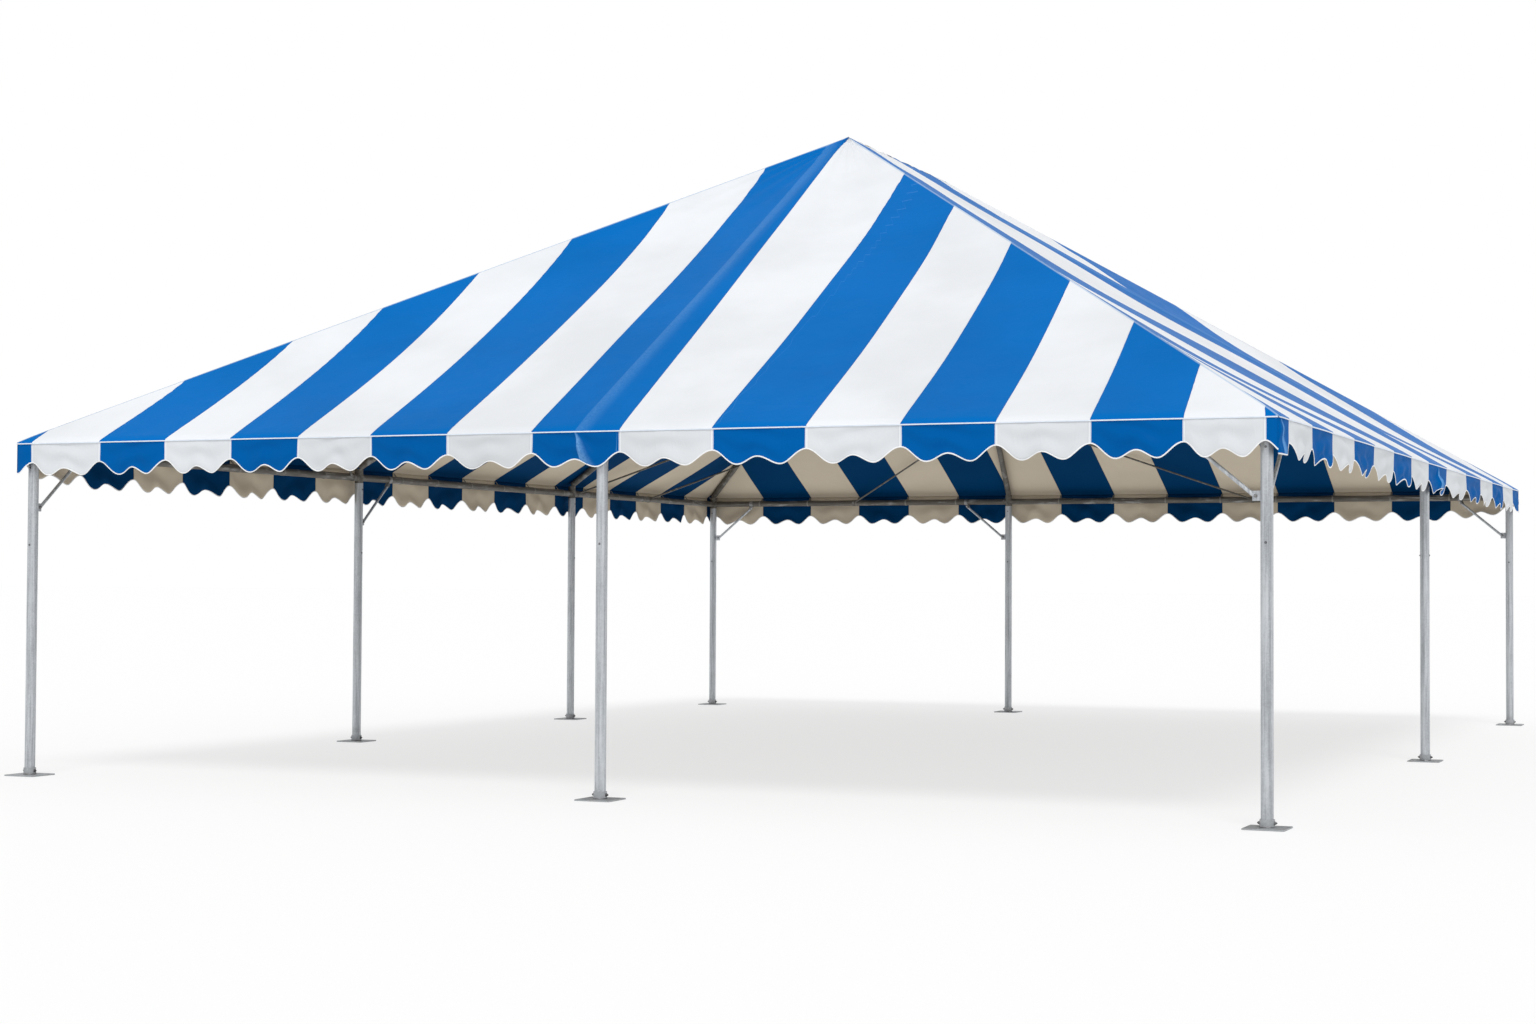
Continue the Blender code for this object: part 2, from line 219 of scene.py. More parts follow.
SEAMS = {
    Side.FRONT: Seams(
        eave=(
            *(-4.52, -3.91, -3.33, -2.77, -2.20, -1.61, -1.00, -0.35),
            *(0.31, 0.98, 1.64, 2.28, 2.91, 3.51, 4.09, 4.58),
        ),
        lean=(
            *(0.02, 0.10, 0.08, 0.00, -0.03, -0.09, -0.12, -0.18),
            *(-0.30, -0.15, -0.15, -0.10, -0.09, -0.06, -0.05, -0.02),
        ),
    ),
    Side.RIGHT: Seams(
        eave=(
            *(-5.86, -5.13, -4.42, -3.62, -2.79, -1.93, -1.07),
            *(-0.18, 0.88, 2.08, 3.10, 3.98, 4.83, 5.65),
        ),
    ),
    Side.BACK: Seams.even(15, HALF_WIDTH),
    Side.LEFT: Seams.even(19, HALF_LENGTH),
}
# Where each side's fold is pinched over a middle leg, with a painted highlight beside it, and where a corner
# has a painted highlight patch.
CREASES = {Side.FRONT: (-0.02,), Side.RIGHT: (0.26,), Side.BACK: (0.90,), Side.LEFT: ()}
HIGHLIGHTED_CORNERS = {Side.FRONT: (), Side.RIGHT: (-6.10,), Side.BACK: (), Side.LEFT: ()}


# ---- Mesh helpers --------------------------------------------------------------------------------
def smooth_object(name: str, mesh: bpy.types.Mesh, sharp: float = 40.0) -> bpy.types.Object:
    """Link a mesh as a piece that rides on the frame.

    Args:
        name: Name of the piece.
        mesh: Its mesh.
        sharp: Edges that turn by more degrees than this stay sharp.

    Returns:
        The new object.
    """
    mesh.shade_smooth()
    mesh.set_sharp_from_angle(angle=math.radians(sharp))
    piece = bpy.data.objects.new(name, mesh)
    bpy.context.scene.collection.objects.link(piece)
    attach(piece, "root")
    return piece


def mesh_of(name: str, shape: bmesh.types.BMesh) -> bpy.types.Mesh:
    """Turn a finished bmesh into a mesh."""
    mesh = bpy.data.meshes.new(name)
    shape.to_mesh(mesh)
    shape.free()
    return mesh


@dataclass
class GridPatch:
    """A rectangular net of points.

    Attributes:
        points: The points, in rows.
        coordinates: Two surface coordinates at each point.
        folds: At each point, the distance from the nearest hip and the place across a fold's painted
            highlight, or nothing.
        slot: The number of its material.
    """

    points: np.ndarray
    coordinates: np.ndarray
    folds: np.ndarray | None = None
    slot: int = 0


def mesh_from_patches(name: str, patches: Sequence[GridPatch], weld: float = 2e-4) -> bpy.types.Mesh:
    """Sew several nets into one mesh, welded where their edges meet.

    Args:
        name: Name of the mesh.
        patches: The nets; each one's rows run up and its columns run to the right, seen from outside.
        weld: Points nearer to each other than this become one.

    Returns:
        The mesh, with the surface coordinates and the folds as its UV maps.
    """
    points, faces, pairs, folds, slots, first = [], [], [], [], [], 0
    for patch in patches:
        rows, columns = patch.points.shape[:2]
        index = np.arange(rows * columns).reshape(rows, columns)
        corners = (index[:-1, :-1], index[:-1, 1:], index[1:, 1:], index[1:, :-1])
        quads = np.stack([corner.ravel() for corner in corners], axis=1)
        points.append(patch.points.reshape(-1, 3))
        faces.append(quads + first)
        pairs.append(patch.coordinates.reshape(-1, 2)[quads.ravel()])
        if patch.folds is not None:
            folds.append(patch.folds.reshape(-1, 2)[quads.ravel()])
        slots.append(np.full(len(quads), patch.slot, dtype=np.int32))
        first += rows * columns
    mesh = bpy.data.meshes.new(name)
    mesh.from_pydata(np.concatenate(points).tolist(), [], np.concatenate(faces).tolist())
    for label, values in (("cut", pairs), ("folds", folds)):
        if values:
            layer = mesh.uv_layers.new(name=label)
            layer.data.foreach_set("uv", np.concatenate(values).astype(np.float32).ravel())
    mesh.polygons.foreach_set("material_index", np.concatenate(slots))
    shape = bmesh.new()
    shape.from_mesh(mesh)
    bmesh.ops.remove_doubles(shape, verts=shape.verts, dist=weld)
    shape.to_mesh(mesh)
    shape.free()
    return mesh


def tube_patch(path: np.ndarray, profile: np.ndarray) -> GridPatch:
    """Sweep a closed profile along a path that is nearly level.

    Args:
        path: The points of the path, one row each.
        profile: The profile's points, as distances to the side and up; the last repeats the first.

    Returns:
        The net of the swept surface.
    """
    ahead = np.gradient(path, axis=0)
    ahead /= np.linalg.norm(ahead, axis=1)[:, None]
    sideways = np.cross(ahead, (0.0, 0.0, 1.0))
    sideways /= np.linalg.norm(sideways, axis=1)[:, None]
    upright = np.cross(sideways, ahead)
    points = path[:, None] + sideways[:, None] * profile[None, :, :1]
    points = points + upright[:, None] * profile[None, :, 1:]
    travelled = np.concatenate([[0], np.cumsum(np.linalg.norm(np.diff(path, axis=0), axis=1))])
    around = np.linspace(0, 1, len(profile))
    coordinates = np.stack(np.meshgrid(travelled, around, indexing="ij"), axis=-1)
    return GridPatch(points, coordinates)


def ellipse(width: float, height: float, sides: int) -> np.ndarray:
    """An ellipse's points, clockwise, with the first one repeated at the end."""
    turn = -np.linspace(0, 2 * math.pi, sides + 1)
    return np.stack([np.cos(turn) * width / 2, np.sin(turn) * height / 2], axis=1)


def prism(
    shape: bmesh.types.BMesh, start: Vector, end: Vector, radius: float, sides: int, chamfer: float = 0.0
) -> None:
    """Add a bar of few or many sides, with its far edge chamfered.

    Args:
        shape: The bmesh that it is added to.
        start: Middle of its near end.
        end: Middle of its far end.
        radius: Its radius, to the corners.
        sides: How many sides it has.
        chamfer: Width of the chamfer round the far end.
    """
    ahead = (end - start).normalized()
    turn = ahead.to_track_quat("Z", "Y").to_matrix()
    levels = [(start, radius), (end, radius)]
    if chamfer:
        levels = [(start, radius), (end - ahead * chamfer * 0.6, radius), (end, radius - chamfer)]
    rings = []
    for place, size in levels:
        corners = []
        for i in range(sides):
            angle = 2 * math.pi * i / sides
            offset = turn @ Vector((math.cos(angle) * size, math.sin(angle) * size, 0))
            corners.append(shape.verts.new(place + offset))
        rings.append(corners)
    for low, high in zip(rings, rings[1:]):
        for i in range(sides):
            j = (i + 1) % sides
            shape.faces.new((low[i], low[j], high[j], high[i]))
    shape.faces.new(list(reversed(rings[0])))
    shape.faces.new(rings[-1])


def ring(
    shape: bmesh.types.BMesh, centre: Vector, axis: Vector, radius: float, thickness: float, width: float
) -> None:
    """Add a flat band bent round an axis, such as a clamp or a strap.

    Args:
        shape: The bmesh that it is added to.
        centre: Middle of the ring.
        axis: The line that it is bent round.
        radius: Its inner radius.
        thickness: Thickness of the band.
        width: Width of the band along the axis.
    """
    turn = axis.to_track_quat("Z", "Y").to_matrix()
    edge = min(thickness, width) * 0.3
    half, outer = width / 2, radius + thickness
    section = [
        (radius, -half),
        (outer - edge, -half),
        (outer, -half + edge),
        (outer, half - edge),
        (outer - edge, half),
        (radius, half),
    ]
    count = 28
    rings = []
    for i in range(count):
        angle = 2 * math.pi * i / count
        rings.append(
            [
                shape.verts.new(centre + turn @ Vector((math.cos(angle) * r, math.sin(angle) * r, z)))
                for r, z in section
            ]
        )
    for i in range(count):
        here, there = rings[i], rings[(i + 1) % count]
        for k in range(len(section)):
            m = (k + 1) % len(section)
            shape.faces.new((here[k], there[k], there[m], here[m]))


@dataclass(frozen=True)
class BoltHead:
    """A round washer with a six-sided head on it.

    Attributes:
        washer_radius: Radius of the washer.
        washer: Its thickness.
        head_radius: Radius of the head, to its corners.
        head: Its thickness.
        washer_chamfer: Width of the chamfer round the washer.
        head_chamfer: Width of the chamfer round the head.
    """

    washer_radius: float
    washer: float
    head_radius: float
    head: float
    washer_chamfer: float = 0.0
    head_chamfer: float = 0.001

    def add(self, shape: bmesh.types.BMesh, face: Vector, way: Vector) -> Vector:
        """Add the washer and the head.

        Args:
            shape: The bmesh that they are added to.
            face: Where the washer lies.
            way: The direction that the bolt points in.

        Returns:
            The middle of the head's top.
        """
        seat = face + way * self.washer
        top = face + way * (self.washer + self.head)
        prism(shape, face, seat, self.washer_radius, 20, self.washer_chamfer)
        prism(shape, seat, top, self.head_radius, 6, self.head_chamfer)
        return top


# ---- Shader wiring -------------------------------------------------------------------------------
Socket = bpy.types.NodeSocket


@dataclass
class Wiring:
    """Adds and joins shader nodes in one tree."""

    tree: bpy.types.NodeTree

    def node(self, kind: str, inputs: dict | None = None, **settings: object) -> bpy.types.Node:
        """Add a node.

        Args:
            kind: The node's type name.
            inputs: A value or a socket for each input, by name or by number.
            **settings: The node's own properties.

        Returns:
            The new node.
        """
        made = self.tree.nodes.new(kind)
        for key, value in settings.items():
            setattr(made, key, value)
        for key, value in (inputs or {}).items():
            if isinstance(value, bpy.types.NodeSocket):
                self.tree.links.new(value, made.inputs[key])
            else:
                made.inputs[key].default_value = value
        return made

    def maths(self, operation: str, *values: object) -> Socket:
        """One step of arithmetic, and the socket that holds its result."""
        inputs = dict(enumerate(values))
        return self.node("ShaderNodeMath", inputs, operation=operation).outputs[0]

    def mix(self, amount: object, first: object, second: object, blend: str = "MIX") -> Socket:
        """Mix two colours, and return the socket that holds the result."""
        inputs = {0: amount, 6: first, 7: second}
        made = self.node("ShaderNodeMix", inputs, data_type="RGBA", blend_type=blend)
        return made.outputs[2]

    def noise(self, place: Socket, scale: float, detail: float = 3.0, roughness: float = 0.55) -> Socket:
        """Fractal noise over a place, from 0 to 1."""
        inputs = {"Vector": place, "Scale": scale, "Detail": detail, "Roughness": roughness}
        return self.node("ShaderNodeTexNoise", inputs).outputs["Fac"]

    def stretch(self, place: Socket, scale: object) -> Socket:
        """A place with each axis multiplied by its own number."""
        inputs = {0: place, 1: scale}
        return self.node("ShaderNodeVectorMath", inputs, operation="MULTIPLY").outputs[0]

    def ramp(self, value: Socket, low: float, high: float) -> Socket:
        """A smooth step from 0 at low to 1 at high."""
        inputs = {"Value": value, "From Min": low, "From Max": high}
        made = self.node("ShaderNodeMapRange", inputs, interpolation_type="SMOOTHSTEP")
        return made.outputs["Result"]


class Effect:
    """A shader node group that several finishes share, made the first time that one asks for it."""

    made: dict[str, bpy.types.NodeTree] = {}

    @classmethod
    def group(
        cls,
        name: str,
        inputs: Iterable[tuple[str, str, object]],
        outputs: Iterable[tuple[str, str]],
        fill: Callable[[Wiring, dict[str, Socket]], dict[str, Socket]],
    ) -> bpy.types.NodeTree:
        """Find or make a group.

        Args:
            name: Name of the group.
            inputs: Name, kind and default of each input.
            outputs: Name and kind of each output.
            fill: Adds the nodes, given the inputs' sockets, and returns a socket for each output.

        Returns:
            The group's node tree.
        """
        if name in cls.made:
            return cls.made[name]
        tree = bpy.data.node_groups.new(name, "ShaderNodeTree")
        for label, kind, default in inputs:
            socket = tree.interface.new_socket(label, in_out="INPUT", socket_type=kind)
            if default is not None:
                socket.default_value = default
        for label, kind in outputs:
            tree.interface.new_socket(label, in_out="OUTPUT", socket_type=kind)
        entry, leave = tree.nodes.new("NodeGroupInput"), tree.nodes.new("NodeGroupOutput")
        results = fill(Wiring(tree), {s.name: s for s in entry.outputs if s.name})
        for label, socket in results.items():
            tree.links.new(socket, leave.inputs[label])
        cls.made[name] = tree
        return tree


FLOAT, PLACE = "NodeSocketFloat", "NodeSocketVector"


def stripes_effect() -> bpy.types.NodeTree:
    """White stripes with odd numbers in blue, and the lapped seam between them."""

    def fill(w: Wiring, given: dict[str, Socket]) -> dict[str, Socket]:
        count = given["Across"]
        blue = w.maths("GREATER_THAN", w.maths("FLOORED_MODULO", w.maths("FLOOR", count), 2.0), 0.5)
        whole = w.maths("FRACT", count)
        nearest = w.maths("MINIMUM", whole, w.maths("SUBTRACT", 1.0, whole))
        near = w.maths("MULTIPLY", nearest, given["Width"])
        seam = w.maths("LESS_THAN", near, given["Seam Width"])
        return {"Blue": blue, "Seam": seam, "From Seam": near}

    inputs = [("Across", FLOAT, 0.0), ("Width", FLOAT, 0.6), ("Seam Width", FLOAT, 0.004)]
    outputs = [("Blue", FLOAT), ("Seam", FLOAT), ("From Seam", FLOAT)]
    return Effect.group("vinyl_stripes", inputs, outputs, fill)


def coated_cloth_effect() -> bpy.types.NodeTree:
    """The scrim that prints through a vinyl coating, with soft creases and handling marks."""

    def fill(w: Wiring, given: dict[str, Socket]) -> dict[str, Socket]:
        place = given["Place"]
        broad = w.noise(place, 0.9, 4.0)
        marks = w.noise(w.stretch(place, (1.0, 1.0, 2.6)), 5.5, 5.0, 0.62)
        crease = w.noise(w.stretch(place, (3.2, 3.2, 1.1)), 2.4, 2.0, 0.5)
        ridge = w.maths("ABSOLUTE", w.maths("SUBTRACT", crease, 0.5))
        sharp = w.maths("SUBTRACT", 1.0, w.ramp(ridge, 0.0, 0.05))
        weave = w.noise(place, 420.0, 1.0)
        height = w.maths("MULTIPLY_ADD", weave, 0.012, w.maths("MULTIPLY", marks, 0.22))
        height = w.maths("MULTIPLY_ADD", sharp, 0.10, height)
        return {"Height": height, "Tone": broad, "Marks": marks}

    outputs = [("Height", FLOAT), ("Tone", FLOAT), ("Marks", FLOAT)]
    return Effect.group("coated_cloth", [("Place", PLACE, None)], outputs, fill)


def folds_effect() -> bpy.types.NodeTree:
    """The seam along a hip, and a painted highlight on one side of a fold."""

    def fill(w: Wiring, given: dict[str, Socket]) -> dict[str, Socket]:
        hip = w.maths("SUBTRACT", 1.0, w.ramp(given["Hip"], 0.010, 0.018))
        # Painted highlight: sharp at the fold's edge, fading across it, broken up by noise.
        edge = w.ramp(given["Fan"], -0.02, 0.06)
        fade = w.maths("SUBTRACT", 1.0, w.ramp(given["Fan"], 0.2, 1.1))
        grain = w.ramp(w.noise(given["Place"], 60.0, 3.0), 0.25, 0.7)
        fold_highlight = w.maths("MULTIPLY", w.maths("MULTIPLY", edge, fade), w.maths("MULTIPLY_ADD", grain, 0.5, 0.5))
        return {"Hip": hip, "Rub": fold_highlight}

    inputs = [("Hip", FLOAT, 1.0), ("Fan", FLOAT, -1.0), ("Place", PLACE, None)]
    return Effect.group("cloth_folds", inputs, [("Hip", FLOAT), ("Rub", FLOAT)], fill)


def zinc_effect() -> bpy.types.NodeTree:
    """Dull galvanising: spangle, run marks along the steel and white bloom."""

    def fill(w: Wiring, given: dict[str, Socket]) -> dict[str, Socket]:
        place = given["Place"]
        cells = w.node("ShaderNodeTexVoronoi", {"Vector": place, "Scale": 110.0}, feature="F1")
        spangle = w.node("ShaderNodeRGBToBW", {"Color": cells.outputs["Color"]}).outputs[0]
        streaks = w.noise(w.stretch(place, given["Grain"]), 1.0, 4.0, 0.55)
        cloud = w.noise(place, 4.2, 4.0)
        bloom = w.ramp(w.maths("MULTIPLY", cloud, streaks), 0.27, 0.42)
        tone = w.maths("MULTIPLY_ADD", spangle, 0.12, w.maths("MULTIPLY", streaks, 0.88))
        height = w.maths("MULTIPLY_ADD", spangle, 0.15, w.noise(place, 210.0, 2.0))
        return {"Tone": tone, "Bloom": bloom, "Height": height}

    inputs = [("Place", PLACE, None), ("Grain", PLACE, (60.0, 60.0, 2.0))]
    outputs = [("Tone", FLOAT), ("Bloom", FLOAT), ("Height", FLOAT)]
    return Effect.group("dull_zinc", inputs, outputs, fill)


def grime_effect() -> bpy.types.NodeTree:
    """Dirt that gathers in patches and near the ground."""

    def fill(w: Wiring, given: dict[str, Socket]) -> dict[str, Socket]:
        height = w.node("ShaderNodeSeparateXYZ", {0: given["Place"]}).outputs["Z"]
        low = w.maths("SUBTRACT", 1.0, w.ramp(height, 0.0, given["Reach"]))
        patches = w.noise(given["Place"], 9.0, 5.0, 0.65)
        mask = w.maths("MULTIPLY", w.ramp(patches, 0.42, 0.72), w.maths("MULTIPLY_ADD", low, 0.75, 0.25))
        return {"Mask": w.maths("MULTIPLY", mask, given["Amount"])}

    inputs = [("Place", PLACE, None), ("Reach", FLOAT, 0.3), ("Amount", FLOAT, 0.5)]
    return Effect.group("grime", inputs, [("Mask", FLOAT)], fill)


# ---- Finishes ------------------------------------------------------------------------------------
Colour = tuple[float, float, float]


def rgba(colour: Colour) -> tuple[float, float, float, float]:
    """A colour with full alpha."""
    return (*colour, 1.0)


@dataclass(frozen=True)
class Finish:
    """What every finish has: a name, a roughness, a metallic value and a level of reflection."""

    name: str
    roughness: float = 0.5
    metallic: float = 0.0
    specular: float = 0.5

    def material(self) -> bpy.types.Material:
        """Find or make this finish's material.

        Returns:
            The material, with its nodes in place.
        """
        found = bpy.data.materials.get(self.name)
        if found:
            return found
        material = bpy.data.materials.new(self.name)
        material.use_nodes = True
        wiring = Wiring(material.node_tree)
        shader = material.node_tree.nodes["Principled BSDF"]
        shader.inputs["Roughness"].default_value = self.roughness
        shader.inputs["Metallic"].default_value = self.metallic
        shader.inputs["Specular IOR Level"].default_value = self.specular
        place = wiring.node("ShaderNodeTexCoord").outputs["Object"]
        self.wire(wiring, shader, place)
        return material

    def wire(self, w: Wiring, shader: bpy.types.Node, place: Socket) -> None:
        """Join the finish's own nodes to the shader; each finish has its own way."""
        raise NotImplementedError

    def join(self, w: Wiring, shader: bpy.types.Node, feeds: dict[str, Socket]) -> None:
        """Link sockets to the shader's inputs, by name."""
        for label, socket in feeds.items():
            w.tree.links.new(socket, shader.inputs[label])


@dataclass(frozen=True)
class Galvanised(Finish):
    """Hot-dip galvanised steel, dulled outdoors."""

    dark: Colour = (0.20, 0.21, 0.22)
    light: Colour = (0.42, 0.43, 0.45)
    dirt: Colour = (0.10, 0.085, 0.065)
    grime: float = 0.35
    grime_reach: float = 0.25
    grain: Colour = (60.0, 60.0, 2.0)
    relief: float = 0.12

    def wire(self, w: Wiring, shader: bpy.types.Node, place: Socket) -> None:
        """Mix the zinc's tones, lay bloom and dirt over them and roughen both."""
        zinc = w.node("ShaderNodeGroup", node_tree=zinc_effect())
        w.tree.links.new(place, zinc.inputs["Place"])
        zinc.inputs["Grain"].default_value = self.grain
        dirt = w.node("ShaderNodeGroup", node_tree=grime_effect())
        w.tree.links.new(place, dirt.inputs["Place"])
        dirt.inputs["Reach"].default_value = self.grime_reach
        dirt.inputs["Amount"].default_value = self.grime
        tone = w.ramp(zinc.outputs["Tone"], 0.25, 0.7)
        colour = w.mix(tone, rgba(self.dark), rgba(self.light))
        colour = w.mix(w.maths("MULTIPLY", zinc.outputs["Bloom"], 0.35), colour, rgba((0.62, 0.63, 0.64)))
        colour = w.mix(dirt.outputs["Mask"], colour, rgba(self.dirt))
        rough = w.maths("MULTIPLY_ADD", zinc.outputs["Bloom"], 0.22, self.roughness)
        rough = w.maths("MULTIPLY_ADD", dirt.outputs["Mask"], 0.3, rough)
        inputs = {"Strength": self.relief, "Distance": 0.001, "Height": zinc.outputs["Height"]}
        bump = w.node("ShaderNodeBump", inputs)
        self.join(w, shader, {"Base Color": colour, "Roughness": rough, "Normal": bump.outputs["Normal"]})


@dataclass(frozen=True)
class StripedVinyl(Finish):
    """Coated polyester in blue and white stripes, cut for one side of the top."""

    width: float = 0.6
    blue: Colour = (0.0, 0.150, 0.505)
    white: Colour = (0.81, 0.83, 0.86)
    blue_seam: Colour = (0.01, 0.19, 0.56)
    white_seam: Colour = (0.72, 0.75, 0.78)
    hip_seam: Colour = (0.42, 0.56, 0.74)
    # Colour of the painted highlight on the blue stripes, and how strongly it is mixed in beside the folds.
    sheen: Colour = (0.16, 0.38, 0.72)
    fold_highlight: float = 0.30
    seam_width: float = 0.004
    relief: float = 0.25

    def wire(self, w: Wiring, shader: bpy.types.Node, place: Socket) -> None:
        """Paint the stripes and their seams, the hip seams and a painted highlight beside the folds, and
        press the cloth's grain into the surface.
        """
        cut = w.node("ShaderNodeUVMap", uv_map="cut").outputs["UV"]
        across = w.node("ShaderNodeSeparateXYZ", {0: cut}).outputs["X"]
        band = w.node("ShaderNodeGroup", node_tree=stripes_effect())
        w.tree.links.new(across, band.inputs["Across"])
        band.inputs["Width"].default_value = self.width
        band.inputs["Seam Width"].default_value = self.seam_width
        cloth = w.node("ShaderNodeGroup", node_tree=coated_cloth_effect())
        w.tree.links.new(place, cloth.inputs["Place"])
        plain = w.mix(band.outputs["Blue"], rgba(self.white), rgba(self.blue))
        seam = w.mix(band.outputs["Blue"], rgba(self.white_seam), rgba(self.blue_seam))
        colour = w.mix(w.maths("MULTIPLY", band.outputs["Seam"], 0.8), plain, seam)
        fold = w.node("ShaderNodeGroup", node_tree=folds_effect())
        marks = w.node("ShaderNodeUVMap", uv_map="folds").outputs["UV"]
        split = w.node("ShaderNodeSeparateXYZ", {0: marks})
        w.tree.links.new(split.outputs["X"], fold.inputs["Hip"])
        w.tree.links.new(split.outputs["Y"], fold.inputs["Fan"])
        w.tree.links.new(place, fold.inputs["Place"])
        # Painted highlight beside each crease and at some corners: a lighter blue on blue stripes, plain
        # white on white ones.
        sheen = w.mix(band.outputs["Blue"], rgba(self.white), rgba(self.sheen))
        colour = w.mix(w.maths("MULTIPLY", fold.outputs["Rub"], self.fold_highlight), colour, sheen)
        colour = w.mix(w.maths("MULTIPLY", fold.outputs["Hip"], 0.6), colour, rgba(self.hip_seam))
        soft = w.maths("MULTIPLY_ADD", w.ramp(cloth.outputs["Tone"], 0.3, 0.7), 0.10, 0.93)
        shade = w.node("ShaderNodeCombineColor", {0: soft, 1: soft, 2: soft}).outputs[0]
        colour = w.mix(1.0, colour, shade, "MULTIPLY")
        rough = w.maths("MULTIPLY_ADD", cloth.outputs["Marks"], 0.16, self.roughness)
        lap = w.maths("SUBTRACT", 1.0, w.ramp(band.outputs["From Seam"], 0.010, 0.014))
        height = w.maths("MULTIPLY_ADD", lap, 0.25, cloth.outputs["Height"])
        bump = w.node("ShaderNodeBump", {"Strength": self.relief, "Distance": 0.01, "Height": height})
        self.join(w, shader, {"Base Color": colour, "Roughness": rough, "Normal": bump.outputs["Normal"]})


@dataclass(frozen=True)
class PlainCloth(Finish):
    """Binding tape, webbing and cord, all in one colour with a fine weave."""

    colour: Colour = (0.85, 0.86, 0.87)
    worn: Colour = (0.60, 0.60, 0.58)
    weave: float = 900.0

    def wire(self, w: Wiring, shader: bpy.types.Node, place: Socket) -> None:
        """Soil the cloth a little and give it a weave."""
        soil = w.ramp(w.noise(place, 14.0, 4.0, 0.6), 0.4, 0.75)
        colour = w.mix(w.maths("MULTIPLY", soil, 0.4), rgba(self.colour), rgba(self.worn))
        threads = w.noise(place, self.weave, 1.0)
        bump = w.node("ShaderNodeBump", {"Strength": 0.3, "Distance": 0.001, "Height": threads})
        rough = w.maths("MULTIPLY_ADD", soil, 0.15, self.roughness)
        self.join(w, shader, {"Base Color": colour, "Roughness": rough, "Normal": bump.outputs["Normal"]})


# ---- The sewn top --------------------------------------------------------------------------------
@dataclass
class Hem:
    """The scalloped edge: two lobes to a stripe, with a deep notch at each seam.

    Attributes:
        lobe: Depth of a lobe below the fold.
        seam: Depth of the notch at a seam.
        middle: Depth of the notch in the middle of a stripe.
        corner: Depth where two sides meet at a corner.
        corner_rise: How far past the last seam the edge reaches that depth.
        lobe_at: Where a lobe is deepest, as a fraction of the stripe.
        far_drop: How much lower the edges of the back and the left hang.
        drop_ease: The length over which that builds up from a corner.
    """

    lobe: float = 0.250
    seam: float = 0.155
    middle: float = 0.200
    corner: float = 0.235
    corner_rise: float = 0.120
    lobe_at: float = 0.27
    far_drop: float = 0.070
    drop_ease: float = 0.90

    def depth(self, across: np.ndarray) -> np.ndarray:
        """How far the edge hangs below the fold.

        Args:
            across: Places along the side in stripes, below 0 and above the last one round the corners.

        Returns:
            The depth at each place.
        """
        near = 0.5 - np.abs(across - np.floor(across) - 0.5)
        outer = self._ease(self.seam, self.lobe, near / self.lobe_at)
        inner = self._ease(self.lobe, self.middle, (near - self.lobe_at) / (0.5 - self.lobe_at))
        return np.where(near < self.lobe_at, outer, inner)

    def corner_depth(self, past_seam: np.ndarray) -> np.ndarray:
        """How far the edge hangs past the last seam, round a corner."""
        return self._ease(self.seam, self.corner, past_seam / min(self.corner_rise, float(past_seam.max())))

    def far_side_drop(self, side: Side, along: np.ndarray, half: float) -> np.ndarray:
        """How much lower the edges of the back and the left hang than the front's.

        Args:
            side: The side.
            along: Places along it.
            half: Half the length of its fold.

        Returns:
            The extra depth, which builds up from the corner with the front or the right.
        """
        if side in (Side.FRONT, Side.RIGHT):
            return 0 * along
        from_corner = half + along if side is Side.BACK else half - along
        return self._ease(0, self.far_drop, from_corner / self.drop_ease)

    @staticmethod
    def _ease(first: float, last: float, part: np.ndarray) -> np.ndarray:
        """Half a cosine wave from first to last."""
        return first + (last - first) * (1 - np.cos(np.pi * np.clip(part, 0, 1))) / 2


@dataclass(frozen=True)
class Folds:
    """How far the cloth stands away from its plain shape.

    Attributes:
        pucker: Swell of the fold between two seams.
        belly: Bulge of a whole stripe of valance.
        curl: Twist of its two lobes.
        pleat: Depth of the small pleats in it.
        drift: Height of the slow waves along a valance.
        tuck: Depth of the slanted tucks down it.
        fan: Height of the fan of cloth under a crease.
        fan_shape: How far a fan leans over towards the hem, its width at the fold, and how much it spreads.
        crease: Height and reach of the raised line over a middle rafter.
        drag: Height of the drag lines along the fold and at the crowns.
        ripple: Height of the broad ripples on a slope.
    """

    pucker: float = 0.006
    belly: float = 0.016
    curl: float = 0.020
    pleat: float = 0.009
    drift: float = 0.008
    tuck: float = 0.009
    fan: float = 0.034
    fan_shape: tuple[float, float, float] = (0.10, 0.012, 0.11)
    crease: tuple[float, float] = (0.014, 0.07)
    drag: float = 0.004
    ripple: float = 0.010

    def across_fan(self, away: np.ndarray, down: np.ndarray) -> np.ndarray:
        """Places across a fan, from -1 to 1 inside it, from their distances along the fold."""
        lean, start, spread = self.fan_shape
        return (away - lean * down) / (start + spread * down)


